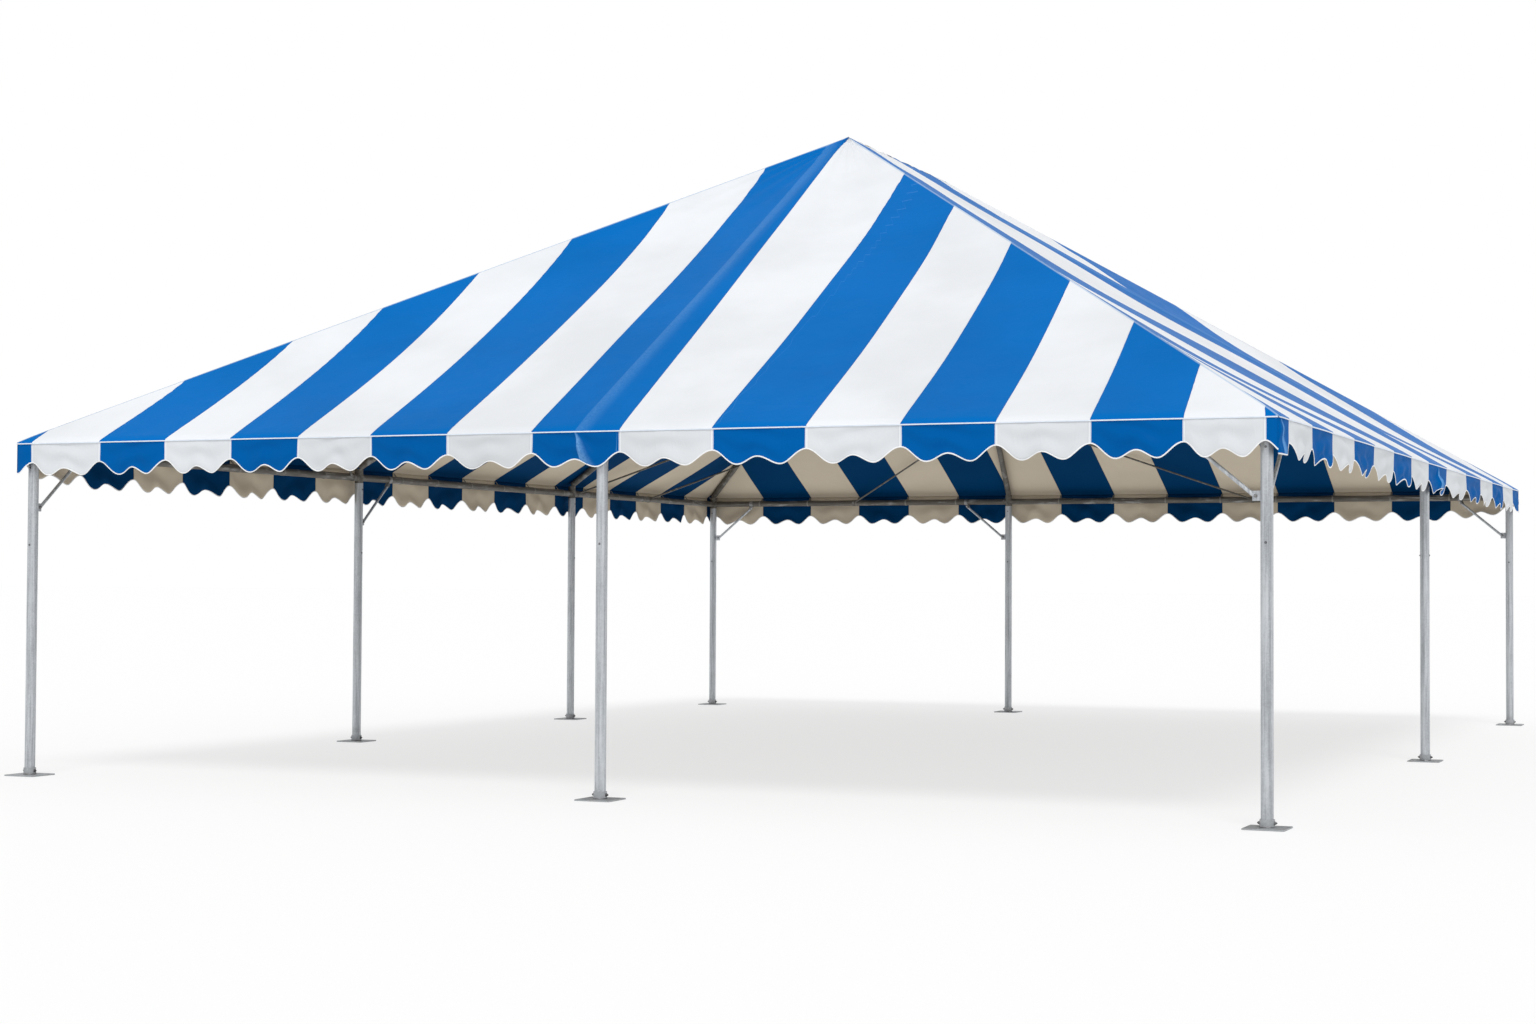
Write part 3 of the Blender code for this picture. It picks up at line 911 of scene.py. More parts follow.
@dataclass
class SewnTop:
    """The striped vinyl top: the roof in one sheet, four valances, their binding and the fold's welt.

    Attributes:
        layout: Where the frame stands.
        hem: The shape of the scalloped edge.
        folds: How the cloth stands away from its plain shape.
        thickness: Thickness of the vinyl.
        lift: How far the roof's outside is over the frame's own plane, so that it clears the clamps.
        sag: How far a bay hangs in its middle, as a share of its width.
        widest_bay: Bays that are wider than this hang no further.
        stripe_columns: Columns of the roof's net in one stripe.
        hem_columns: Columns of a valance's net in one stripe.
        slope_rows: Rows of the net from the fold to the ridge.
        hang_rows: Rows of the net down a valance.
        corner_columns: Columns of the net between a corner and the nearest seam.
        lip: How far out and how far down each row of the roof's turned lip is.
        tuck_in: How far below the fold a valance starts, behind the lip.
        behind: How far a valance hangs behind the fold.
        highlight_width: Width of the painted highlight beside a crease.
        seed: Where the waves and the lobes' random shapes start.
    """

    layout: Layout
    hem: Hem = field(default_factory=Hem)
    folds: Folds = field(default_factory=Folds)
    thickness: float = 0.0012
    lift: float = 0.004
    sag: float = 0.0215
    widest_bay: float = 4.8
    stripe_columns: int = 14
    hem_columns: int = 36
    slope_rows: int = 44
    hang_rows: int = 16
    corner_columns: int = 6
    lip: tuple[tuple[float, float], ...] = ((0.0, 0.003), (0.0025, 0.009), (0.003, 0.016))
    tuck_in: float = 0.008
    behind: float = 0.001
    highlight_width: float = 0.13
    seed: int = 11

    def columns(self, side: Side, count: int) -> np.ndarray:
        """Places along a side's fold where a net has a column.

        Args:
            side: The side.
            count: How many of them a stripe has.

        Returns:
            The places, in order.
        """
        seams, half = SEAMS[side].eave, self.layout.half_eave(side)
        steps = np.arange(count) / count
        stripes = [start + (end - start) * steps for start, end in zip(seams, seams[1:])]
        before = np.linspace(-half, seams[0], self.corner_columns + 1)[:-1]
        after = np.linspace(seams[-1], half, self.corner_columns + 1)
        return np.concatenate([before, *stripes, after])

    def across(self, side: Side, along: np.ndarray, up: np.ndarray | float = 0.0) -> np.ndarray:
        """Places on a side, counted in stripes."""
        return SEAMS[side].across(along, np.asarray(up, dtype=float), self.layout.half_eave(side))

    def seam_distance(self, side: Side, along: np.ndarray) -> np.ndarray:
        """How far along the fold the nearest seam is."""
        return np.min(np.abs(along[:, None] - np.array(SEAMS[side].eave)), axis=1)

    def wave(self, side: Side, along: np.ndarray, lengths: Sequence[float]) -> np.ndarray:
        """A sum of sine waves along a side, from -1 to 1, with seeded phases.

        Args:
            side: The side, which picks the phases.
            along: Places along it.
            lengths: The wavelengths.

        Returns:
            The wave's height at each place.
        """
        random = np.random.default_rng(self.seed + len(side.label) + list(Side).index(side))
        total = sum(np.sin(2 * np.pi * along / length + random.uniform(0, 6.28)) for length in lengths)
        return total / len(lengths)

    def pucker(self, side: Side, along: np.ndarray) -> np.ndarray:
        """How far the fold bellies out between the seams that pinch it."""
        across = self.across(side, along)
        swell = self.folds.pucker * np.abs(np.sin(np.pi * across)) ** 0.8
        return swell * self._fade_at_corners(side, along)

    def _fade_at_corners(self, side: Side, along: np.ndarray) -> np.ndarray:
        """1 along a side, falling to 0 at its corners, where the next side takes over."""
        left = np.clip((self.layout.half_eave(side) - np.abs(along)) / OVERHANG, 0, 1)
        return left * left * (3 - 2 * left)

    def roof_patch(self, side: Side) -> GridPatch:
        """The net of one side of the roof, from the lip under its fold up to the ridge.

        Args:
            side: The side to make.

        Returns:
            The net; its coordinates are the cut's own, in metres.
        """
        layout = self.layout
        eave = self.columns(side, self.stripe_columns)
        low, high = (np.array(ends) for ends in zip(*layout.supports(side)))
        bay = np.clip(np.searchsorted(low, eave, side="right") - 1, 0, len(low) - 2)
        width = low[bay + 1] - low[bay]
        part = (eave - low[bay]) / width
        top = high[bay] * (1 - part) + high[bay + 1] * part
        up = np.linspace(0, 1, self.slope_rows + 1)[1:, None] ** 1.12
        along = eave * (1 - up) + top * up
        loose = 4 * part * (1 - part)
        hang = self.sag * np.minimum(width, self.widest_bay) * loose * np.sin(np.pi * up**0.85) ** 1.1
        ripple = self._roof_ripple(side, along, up, part) * np.minimum(1, loose * 3)
        run, rise = layout.run(side), layout.ridge_height - layout.eave_height
        slope = math.hypot(run, rise)
        lift = self.lift * np.clip(up * 30, 0, 1)
        height = layout.eave_height + lift + rise * up - hang + ripple + self.crease(side, along, up)
        rows = [self._place(side, along, layout.reach(side) - run * up, height)]
        cut = [np.stack([self.across(side, along, up), slope * up + 0 * along], axis=-1)]
        fold = self.across(side, eave)
        belly = self.pucker(side, eave)
        for outset, drop in self.lip:
            out = layout.reach(side) + belly + outset
            rows.insert(0, self._place(side, eave, out, layout.eave_height - drop + 0 * eave)[None])
            cut.insert(0, np.stack([fold, -drop + 0 * eave], axis=-1)[None])
        all_up = np.concatenate([np.zeros((len(self.lip), 1)), up])
        all_along = np.concatenate([np.tile(eave, (len(self.lip), 1)), along])
        # Second UV map: the distance to the hip seam, and the place across the painted highlight beside each
        # crease.
        hip = layout.half_eave(side) * (1 - all_up) + high[-1] * all_up - np.abs(all_along)
        fan = np.full(all_along.shape, -1.0)
        for fold in CREASES[side]:
            away = (all_along - fold * (1 - all_up)) / self.highlight_width + all_up * 1.1
            fan = np.where(np.abs(all_along - fold) < 1.0, away, fan)
        folds = np.stack([hip, fan], axis=-1)
        return GridPatch(np.concatenate(rows), np.concatenate(cut), folds, list(Side).index(side))

    def _roof_ripple(self, side: Side, along: np.ndarray, up: np.ndarray, part: np.ndarray) -> np.ndarray:
        """Small drag lines: along the fold, and fanning down from the crowns and out from the legs."""
        edge = self.folds.drag * np.exp(-up * 22) * self.wave(side, along, (0.31, 0.47, 0.83))
        fan = self.folds.drag * np.sin(part * 2 * np.pi * 5 + 1.3) * np.exp(-((1 - up) ** 2) * 9)
        broad = self.folds.ripple * np.sin(2 * np.pi * (up * 2.3 + part * 0.7)) * np.sin(np.pi * up)
        return edge + fan + broad * (1.2 if side is Side.RIGHT else 0.5)

    def crease(self, side: Side, along: np.ndarray, up: np.ndarray) -> np.ndarray:
        """The raised line where the cloth is pulled over its middle rafters, strongest near the fold."""
        height, reach = self.folds.crease
        total = 0.0
        for fold in CREASES[side]:
            away = np.abs(along - fold * (1 - up))
            total = total + height * np.exp(-away / reach) * (1 - up) ** 0.8 * np.clip(up * 25, 0, 1)
        return total

    def _place(self, side: Side, along: np.ndarray, out: np.ndarray, height: np.ndarray) -> np.ndarray:
        """Points from their distances along a side and out from the middle, and their heights."""
        along, out, height = np.broadcast_arrays(along, out, height)
        points = along[..., None] * side.along - out[..., None] * side.inward
        return points + height[..., None] * np.array((0.0, 0.0, 1.0))

    def drape(self, side: Side, along: np.ndarray, down: np.ndarray) -> np.ndarray:
        """How far a valance stands out from a plumb sheet.

        Args:
            side: The side it hangs on.
            along: Places along it.
            down: Fractions of the way down to the hem.

        Returns:
            The distance outwards at each place.
        """
        across = self.across(side, along)
        stripe = np.floor(across).astype(int)
        random = np.random.default_rng(self.seed * 7 + list(Side).index(side))
        count = len(SEAMS[side].eave)
        swing, curl, slant = random.uniform(-1, 1, (3, count + 1))
        index = np.clip(stripe + 1, 0, count)
        part = across - stripe
        slope, arch = slant[index], np.sin(np.pi * part)
        belly = self.folds.belly * swing[index] * arch * down
        lobes = self.folds.curl * curl[index] * np.sin(2 * np.pi * part) * down**1.4
        pleats = self.folds.pleat * np.sin(np.pi * (5 * part + 2 * slope * (1 - down))) * arch * down
        drift = self.folds.drift * self.wave(side, along, (0.9, 1.7, 2.9)) * down**1.2
        tucks = self.folds.tuck * np.sin(2 * np.pi * (down * 1.5 + 1.4 * slope * part)) * arch
        tucks = tucks * np.minimum(1, down * 5)
        fans = 0.0
        for fold in CREASES[side]:
            across_fan = np.abs(self.folds.across_fan(along - fold, down))
            fans = fans + self.folds.fan * np.clip(1 - across_fan, 0, 1) * np.sin(np.pi * down * 0.6)
        return (belly + lobes + pleats + drift + tucks + fans) * self._fade_at_corners(side, along)

    def valance_patch(self, side: Side) -> GridPatch:
        """The net of one valance, from inside the roof's lip down to the scalloped edge.

        Args:
            side: The side it hangs on.

        Returns:
            The net; its coordinates are the cut's own, in metres.
        """
        along = self.columns(side, self.hem_columns)
        across = self.across(side, along)
        near = 1e-6
        inside = (across >= -near) & (across <= len(SEAMS[side].eave) - 1 + near)
        corner = self.hem.corner_depth(self.seam_distance(side, along))
        deep = np.where(inside, self.hem.depth(across), corner)
        deep = deep + self.hem.far_side_drop(side, along, self.layout.half_eave(side))
        down = np.linspace(1, 0, self.hang_rows + 1)[:, None]
        drop = self.tuck_in + (deep - self.tuck_in) * down
        out = self.layout.reach(side) + self.pucker(side, along)
        out = out + self.drape(side, along, down) - self.behind
        points = self._place(side, along, out, self.layout.eave_height - drop)
        cut = np.stack(np.broadcast_arrays(across, -drop), axis=-1)
        # The place across the painted highlight at each crease and at each highlighted corner.
        fan = np.full(points.shape[:2], -1.0)
        for fold in CREASES[side] + HIGHLIGHTED_CORNERS[side]:
            away = self.folds.across_fan(along - fold, down) + 0.5
            fan = np.where(np.abs(along - fold) < 0.3, away, fan)
        folds = np.stack([np.full(fan.shape, 1.0), fan], axis=-1)
        return GridPatch(points, cut, folds)

    def build(self) -> list[bpy.types.Object]:
        """Make every piece of the top.

        Returns:
            The pieces, roof first.
        """
        roof = self.build_roof()
        pieces = [roof]
        for side in Side:
            pieces += self.build_valance(side)
        pieces.append(self.build_welt())
        return pieces

    def build_roof(self) -> bpy.types.Object:
        """The roof as one sheet, sewn along its hips and ridge."""
        patches = [self.roof_patch(side) for side in Side]
        mesh = mesh_from_patches("roof_sheet", patches)
        outer = [self.vinyl(side, "roof") for side in Side]
        linings = [self.shaded_lining(side, "roof") for side in Side]
        for material in outer + linings:
            mesh.materials.append(material)
        roof = smooth_object("roof_sheet", mesh, 60)
        self._thicken(roof, lining_offset=len(outer))
        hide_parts(*(f"roof_{side.label}" for side in Side))
        flat, area = self.flat_size()
        return roof

    def flat_size(self) -> tuple[tuple[float, float], float]:
        """The rectangle that the roof's panels fit in when they are laid out, and their area."""
        layout, rise = self.layout, self.layout.ridge_height - self.layout.eave_height
        end_slope = math.hypot(layout.run(Side.FRONT), rise)
        side_slope = math.hypot(layout.run(Side.LEFT), rise)
        area = 2 * layout.eave[0] * end_slope
        area += 2 * (layout.eave[1] + layout.half_ridge) * side_slope
        return (2 * side_slope, 2 * (end_slope + layout.half_ridge)), area

    def build_valance(self, side: Side) -> list[bpy.types.Object]:
        """A valance and the binding along its scalloped edge."""
        name, tape_name = f"valance_cloth_{side.label}", f"hem_binding_{side.label}"
        patch = self.valance_patch(side)
        mesh = mesh_from_patches(name, [patch])
        mesh.materials.append(self.vinyl(side, "valance"))
        mesh.materials.append(self.shaded_lining(side, "valance"))
        valance = smooth_object(name, mesh, 60)
        self._thicken(valance, lining_offset=1)
        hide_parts(f"valance_{side.label}")
        hem_line = patch.points[0] + np.array(UP) * 0.002
        tape = mesh_from_patches(tape_name, [tube_patch(hem_line, ellipse(0.0040, 0.009, 8))])
        tape.materials.append(BINDING.material())
        binding = smooth_object(tape_name, tape, 80)
        deep = patch.coordinates[-1, :, 1] - patch.coordinates[0, :, 1]
        area = float(np.sum((deep[1:] + deep[:-1]) / 2 * np.diff(self.columns(side, self.hem_columns))))
        size = (2 * self.layout.half_eave(side), float(deep.max()) + self.tuck_in)
        return [valance, binding]

    def build_welt(self) -> bpy.types.Object:
        """The thin light welt that runs round the whole top just under its fold."""
        patches = []
        for side in Side:
            along = self.columns(side, self.hem_columns)
            out = self.layout.reach(side) + self.pucker(side, along) + 0.004
            line = self._place(side, along, out, self.layout.eave_height - 0.015 + 0 * along)
            patches.append(tube_patch(line, ellipse(0.006, 0.009, 8)))
        mesh = mesh_from_patches("fold_welt", patches)
        mesh.materials.append(WELT.material())
        welt = smooth_object("fold_welt", mesh, 80)
        return welt

    def _thicken(self, piece: bpy.types.Object, lining_offset: int) -> None:
        """Give a sheet its thickness, with the lining's material on its inside."""
        cloth = piece.modifiers.new("cloth", "SOLIDIFY")
        cloth.thickness = self.thickness
        cloth.offset = -1
        cloth.material_offset = lining_offset

    def vinyl(self, side: Side, part: str) -> bpy.types.Material:
        """The outside finish of a side's roof or valance."""
        colours = {"blue_seam": (0.0, 0.09, 0.36), "specular": 0.03 if side is Side.RIGHT else 0.02}
        if part == "valance":
            # The valance's blue and white are darker than the roof's: painted shade for its upright faces.
            colours = {
                "blue": (0.0, 0.100, 0.355),
                "white": (0.66, 0.685, 0.71),
                "blue_seam": (0.75, 0.79, 0.84),
                "white_seam": (0.80, 0.82, 0.84),
                "specular": 0.005 if side is Side.RIGHT else 0.02,
                "fold_highlight": 0.85,
                "seam_width": 0.008,
                "relief": 0.6,
            }
        return self._striped(side, f"{part}_vinyl_{side.label}", colours)

    def shaded_lining(self, side: Side, part: str) -> bpy.types.Material:
        """The inside finish, greyer and tan-tinted: darker copies of the outside colours, painted shade
        under the top.
        """
        colours = {
            "blue": (0.0, 0.036, 0.115),
            "white": (0.56, 0.49, 0.385),
            "sheen": (0.0, 0.036, 0.115),
            "hip_seam": (0.10, 0.09, 0.07),
            "blue_seam": (0.0, 0.02, 0.06),
            "white_seam": (0.30, 0.265, 0.21),
            "roughness": 0.7,
            "specular": 0.02,
        }
        return self._striped(side, f"{part}_lining_{side.label}", colours)

    def _striped(self, side: Side, name: str, colours: dict) -> bpy.types.Material:
        """A striped finish whose seams are as wide on this side as on the others."""
        seams = SEAMS[side].eave
        width = (seams[-1] - seams[0]) / (len(seams) - 1)
        return StripedVinyl(name=name, **{"width": width, "roughness": 0.36, **colours}).material()


POLE = Galvanised(
    "weathered_zinc", roughness=0.42, metallic=0.55, dark=(0.31, 0.33, 0.355), light=(0.56, 0.59, 0.62)
)
# Rails, rafters, ridge poles and stay rods: darker, browner zinc tones than the legs, painted shade for
# their place under the top.
TUBE = Galvanised(
    "shaded_tube",
    roughness=0.5,
    metallic=0.3,
    dark=(0.065, 0.06, 0.051),
    light=(0.125, 0.116, 0.10),
    grime=0.2,
    grain=(5.0, 5.0, 50.0),
)
RAFTER = replace(TUBE, name="shaded_rafter", grain=(16.0, 16.0, 16.0))
PLATE = Galvanised(
    "scuffed_plate",
    roughness=0.5,
    metallic=0.5,
    dark=(0.27, 0.285, 0.30),
    light=(0.48, 0.50, 0.52),
    grime=0.45,
    grime_reach=0.05,
    grain=(9.0, 9.0, 9.0),
    relief=0.25,
)
CASTING = Galvanised(
    "sand_casting",
    roughness=0.55,
    metallic=0.3,
    dark=(0.07, 0.065, 0.055),
    light=(0.17, 0.16, 0.14),
    grain=(30.0, 30.0, 30.0),
    relief=0.4,
)
BOLT = Galvanised(
    "zinc_bolt", roughness=0.35, metallic=0.8, dark=(0.09, 0.09, 0.10), light=(0.2, 0.2, 0.21), grime=0.5
)
CLAMP = Galvanised(
    "bright_clamp", roughness=0.4, metallic=0.6, dark=(0.14, 0.14, 0.14), light=(0.32, 0.32, 0.32), grime=0.1
)
BINDING = PlainCloth("hem_binding", roughness=0.55)
WELT = PlainCloth("fold_welt", roughness=0.4, colour=(0.74, 0.80, 0.88), worn=(0.60, 0.66, 0.72))
WEBBING = PlainCloth("rail_strap", roughness=0.7, colour=(0.20, 0.19, 0.17), worn=(0.10, 0.09, 0.08))
CORD = PlainCloth("lacing_cord", roughness=0.7, colour=(0.34, 0.31, 0.27), worn=(0.20, 0.18, 0.16))


# ---- Hardware ------------------------------------------------------------------------------------
@dataclass
class FrameFinishes:
    """Puts each CAD node's finish on it."""

    finishes: dict[str, Finish] = field(
        default_factory=lambda: {
            "leg_": POLE,
            "base_plate_": PLATE,
            "eave_fitting_": CASTING,
            "crown_": CASTING,
            "eave_rail_": TUBE,
            "rafter_": RAFTER,
            "ridge_pole_": RAFTER,
        }
    )

    def dress(self) -> int:
        """Assign the finishes.

        Returns:
            How many nodes were dressed.
        """
        dressed = 0
        for node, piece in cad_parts.items():
            for prefix, finish in self.finishes.items():
                if node.startswith(prefix):
                    piece.data.materials.clear()
                    piece.data.materials.append(finish.material())
                    piece.data.shade_smooth()
                    piece.data.set_sharp_from_angle(angle=math.radians(40))
                    dressed += 1
        return dressed


@dataclass
class Hardware:
    """Common ground of the small metal and webbing pieces."""

    layout: Layout
    slot: str = "cast_fitting"

    def finish_piece(self, name: str, shape: bmesh.types.BMesh, finish: Finish) -> bpy.types.Object:
        """Turn a bmesh into a piece with one finish.

        Args:
            name: Name of the piece.
            shape: Its bmesh.
            finish: Its finish.

        Returns:
            The piece.
        """
        bmesh.ops.recalc_face_normals(shape, faces=shape.faces)
        mesh = mesh_of(name, shape)
        mesh.materials.append(finish.material())
        piece = smooth_object(name, mesh, 35)
        return piece


@dataclass
class FootBolts(Hardware):
    """The bolts that pin a leg in its base plate's sleeve, with their washers and the sleeve's weld.

    Attributes:
        sleeve_radius: Outer radius of the sleeve.
        bolt_height: Height of the bolts' centre line.
        bolt: The bolt's washer and head.
        stub: Radius and length of the thread that stands out of it.
        weld_height: Height of the weld's middle line.
        weld: Radius of the bead, and how much that varies along it.
    """

    sleeve_radius: float = 0.0451
    bolt_height: float = 0.036
    bolt: BoltHead = BoltHead(0.012825, 0.0025, 0.0095, 0.008, head_chamfer=0.0012)
    stub: tuple[float, float] = (0.004275, 0.0055)
    weld_height: float = 0.0105
    weld: tuple[float, float] = (0.0042, 0.0006)

    def build(self) -> list[bpy.types.Object]:
        """Make one piece for each leg."""
        return [self.build_foot(name, place) for name, place in self.layout.legs.items()]

    def build_foot(self, name: str, place: tuple[float, float]) -> bpy.types.Object:
        """The bolts and weld of one foot."""
        shape = bmesh.new()
        centre = Vector((*place, self.bolt_height))
        for way in (Vector((1, 0, 0)), Vector((-1, 0, 0))):
            top = self.bolt.add(shape, centre + way * (self.sleeve_radius - SUNK), way)
            prism(shape, top, top + way * self.stub[1], self.stub[0], 12, 0.0006)
        self._weld_bead(shape, Vector((*place, self.weld_height)))
        return self.finish_piece(f"foot_bolts_{name}", shape, BOLT)

    def _weld_bead(self, shape: bmesh.types.BMesh, centre: Vector) -> None:
        """A rippled bead of weld where the sleeve meets its plate."""
        steps, section = 72, 6
        rings = []
        for i in range(steps):
            angle = 2 * math.pi * i / steps
            size = self.weld[0] + self.weld[1] * math.sin(i * 2 * math.pi / 3)
            outward = Vector((math.cos(angle), math.sin(angle), 0))
            rings.append(
                [
                    shape.verts.new(
                        centre
                        + outward * (self.sleeve_radius + size * math.cos(2 * math.pi * k / section))
                        + Vector((0, 0, size * math.sin(2 * math.pi * k / section)))
                    )
                    for k in range(section)
                ]
            )
        for i in range(steps):
            for k in range(section):
                m, j = (k + 1) % section, (i + 1) % steps
                shape.faces.new((rings[i][k], rings[j][k], rings[j][m], rings[i][m]))


@dataclass
class LegPins(Hardware):
    """The pins through each leg: one holds the fitting in its head, and one plugs a spare hole lower down.

    Attributes:
        heights: Heights of the pins.
        pin: The pin's washer and head.
        sunk: How far the washer is let into the leg.
        clear: Legs nearer than this to an end's fold show their pins on their front and back.
    """

    heights: tuple[float, ...] = (2.270, 1.700)
    pin: BoltHead = BoltHead(0.008, 0.0035, 0.0055, 0.0035, washer_chamfer=0.0006, head_chamfer=0.0008)
    sunk: float = 0.002
    clear: float = 0.2

    def build(self) -> list[bpy.types.Object]:
        """Make one piece for each leg."""
        return [self.build_pins(name, place) for name, place in self.layout.legs.items()]

    def build_pins(self, name: str, place: tuple[float, float]) -> bpy.types.Object:
        """The pins of one leg."""
        shape = bmesh.new()
        at_end = abs(place[1]) >= self.layout.eave[1] - self.clear
        across = Vector((0, 1, 0)) if at_end else Vector((1, 0, 0))
        for height in self.heights:
            for way in (across, -across):
                face = Vector((*place, height)) + way * (LEG_RADIUS - self.sunk)
                self.pin.add(shape, face, way)
        return self.finish_piece(f"leg_pins_{name}", shape, BOLT)


@dataclass
class BraceClamps(Hardware):
    """What holds a knee brace: a bolt through its ear and a clamp round the rail.

    Attributes:
        reach: Distance from the leg to the clamp.
        foot_height: Height of the ear's bolt.
        ear_out: Distance from the leg's face to that bolt.
        ear_half: Half the ear's thickness.
        bolt: The bolt's washer and head.
        lug: Length, slant, half spacing and radius of the clamp's two lugs.
        back: How far the lugs start from the clamp's middle, towards the leg.
        under: How far they start below the rail.
    """

    reach: float = 0.50
    foot_height: float = 1.98
    ear_out: float = 0.028
    ear_half: float = 0.003
    bolt: BoltHead = BoltHead(0.011, 0.009, 0.009, 0.008, washer_chamfer=0.001)
    lug: tuple[float, float, float, float] = (0.030, 0.012, 0.009, 0.016)
    back: float = 0.012
    under: float = 0.004

    def build(self) -> list[bpy.types.Object]:
        """Make one piece for each brace, found from the box of its leg."""
        made = []
        for name, place in self.layout.legs.items():
            low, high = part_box(f"leg_{name}")
            for axis in (0, 1):
                for sign, edge in ((-1, low[axis]), (1, high[axis])):
                    if abs(edge - place[axis]) > self.reach * 0.8:
                        made.append(self.build_clamp(name, place, axis, sign))
        return made

    def build_clamp(self, name: str, place: tuple[float, float], axis: int, sign: int) -> bpy.types.Object:
        """The bolt and clamp of one brace."""
        shape = bmesh.new()
        way = Vector((sign if axis == 0 else 0, sign if axis == 1 else 0, 0))
        aside = way.cross(UP)
        ear = Vector((*place, self.foot_height)) + way * (LEG_RADIUS + self.ear_out)
        hold = Vector((*place, self.layout.rail_height)) + way * self.reach
        ring(shape, hold, way, RAIL_RADIUS + 0.0004, 0.0045, 0.038)
        lug = hold - UP * (RAIL_RADIUS + self.under) - way * self.back
        length, slant, half, radius = self.lug
        for face in (aside, -aside):
            self.bolt.add(shape, ear + face * self.ear_half, face)
            start = lug + face * half
            prism(shape, start, start - UP * length - way * slant, radius, 4)
        pin = lug - UP * 0.018 - way * 0.006
        prism(shape, pin - aside * 0.026, pin + aside * 0.026, 0.006, 6)
        suffix = "xy"[axis] + ("_low" if sign < 0 else "_high")
        return self.finish_piece(f"brace_clamp_{name}_{suffix}", shape, CLAMP)


@dataclass
class RailTies(Hardware):
    """Collars and straps on the eave rails at each seam, and the lacing that pulls the top down to them.

    Attributes:
        strap_width: Width of the webbing.
        lacing: How far the lacing runs outside the rail's middle line and over it.
        dip: How far the lacing sinks between two seams.
        leg_gap: Seams nearer to a leg than this have no strap.
    """

    strap_width: float = 0.024
    lacing: tuple[float, float] = (0.040, 0.034)
    dip: float = 0.006
    leg_gap: float = 0.12

    def build(self) -> list[bpy.types.Object]:
        """Make the straps and the lacing of each side."""
        made = []
        for side in Side:
            made += [self.build_straps(side), self.build_lacing(side)]
        return made

    def stations(self, side: Side) -> list[float]:
        """The seams along a side that aren't too near a leg."""
        legs = self.layout.leg_stations(side)
        return [seam for seam in SEAMS[side].eave if min(abs(seam - leg) for leg in legs) > self.leg_gap]

    def build_straps(self, side: Side) -> bpy.types.Object:
        """A collar round the rail at each seam, with a short strap up to the canopy's edge."""
        shape = bmesh.new()
        for seam in self.stations(side):
            centre = self.layout.rail_point(side, seam)
            ring(shape, centre, Vector(side.along), RAIL_RADIUS + 0.0003, 0.002, self.strap_width * 0.7)
            start = self.layout.rail_point(side, seam, RAIL_RADIUS + 0.001, 0.004)
            end = self.layout.rail_point(side, seam, OVERHANG - 0.012, 0.068)
            self._strap(shape, start, end, Vector(side.along) * self.strap_width * 0.4)
        return self.finish_piece(f"rail_ties_{side.label}", shape, WEBBING)

    def _strap(self, shape: bmesh.types.BMesh, start: Vector, end: Vector, half: Vector) -> None:
        """A flat strap between two points that bellies a little on its way."""
        out = (end - start).cross(half).normalized() * 0.0015
        corners = ((-1, -1), (1, -1), (1, 1), (-1, 1))
        steps, rings = 6, []
        for i in range(steps + 1):
            part = i / steps
            middle = start.lerp(end, part) + out * 4 * math.sin(math.pi * part)
            rings.append([shape.verts.new(middle + a * half + b * out) for a, b in corners])
        for low, high in zip(rings, rings[1:]):
            for k in range(4):
                m = (k + 1) % 4
                shape.faces.new((low[k], low[m], high[m], high[k]))
        shape.faces.new(list(reversed(rings[0])))
        shape.faces.new(rings[-1])

    def build_lacing(self, side: Side) -> bpy.types.Object:
        """A taut line above the rail that dips a little between the seams."""
        half = self.layout.half_eave(side) - OVERHANG - 0.05
        seams = SEAMS[side].eave
        along = np.linspace(-half, half, len(seams) * 8 + 1)
        across = SEAMS[side].across(along, np.zeros(1), self.layout.half_eave(side))
        dip = self.dip * np.abs(np.sin(np.pi * across))
        out, rise = self.lacing
        line = np.array([tuple(self.layout.rail_point(side, a, out, rise - d)) for a, d in zip(along, dip)])
        mesh = mesh_from_patches(f"lacing_{side.label}", [tube_patch(line, ellipse(0.008, 0.008, 8))])
        mesh.materials.append(CORD.material())
        piece = smooth_object(f"lacing_{side.label}", mesh, 80)
        return piece


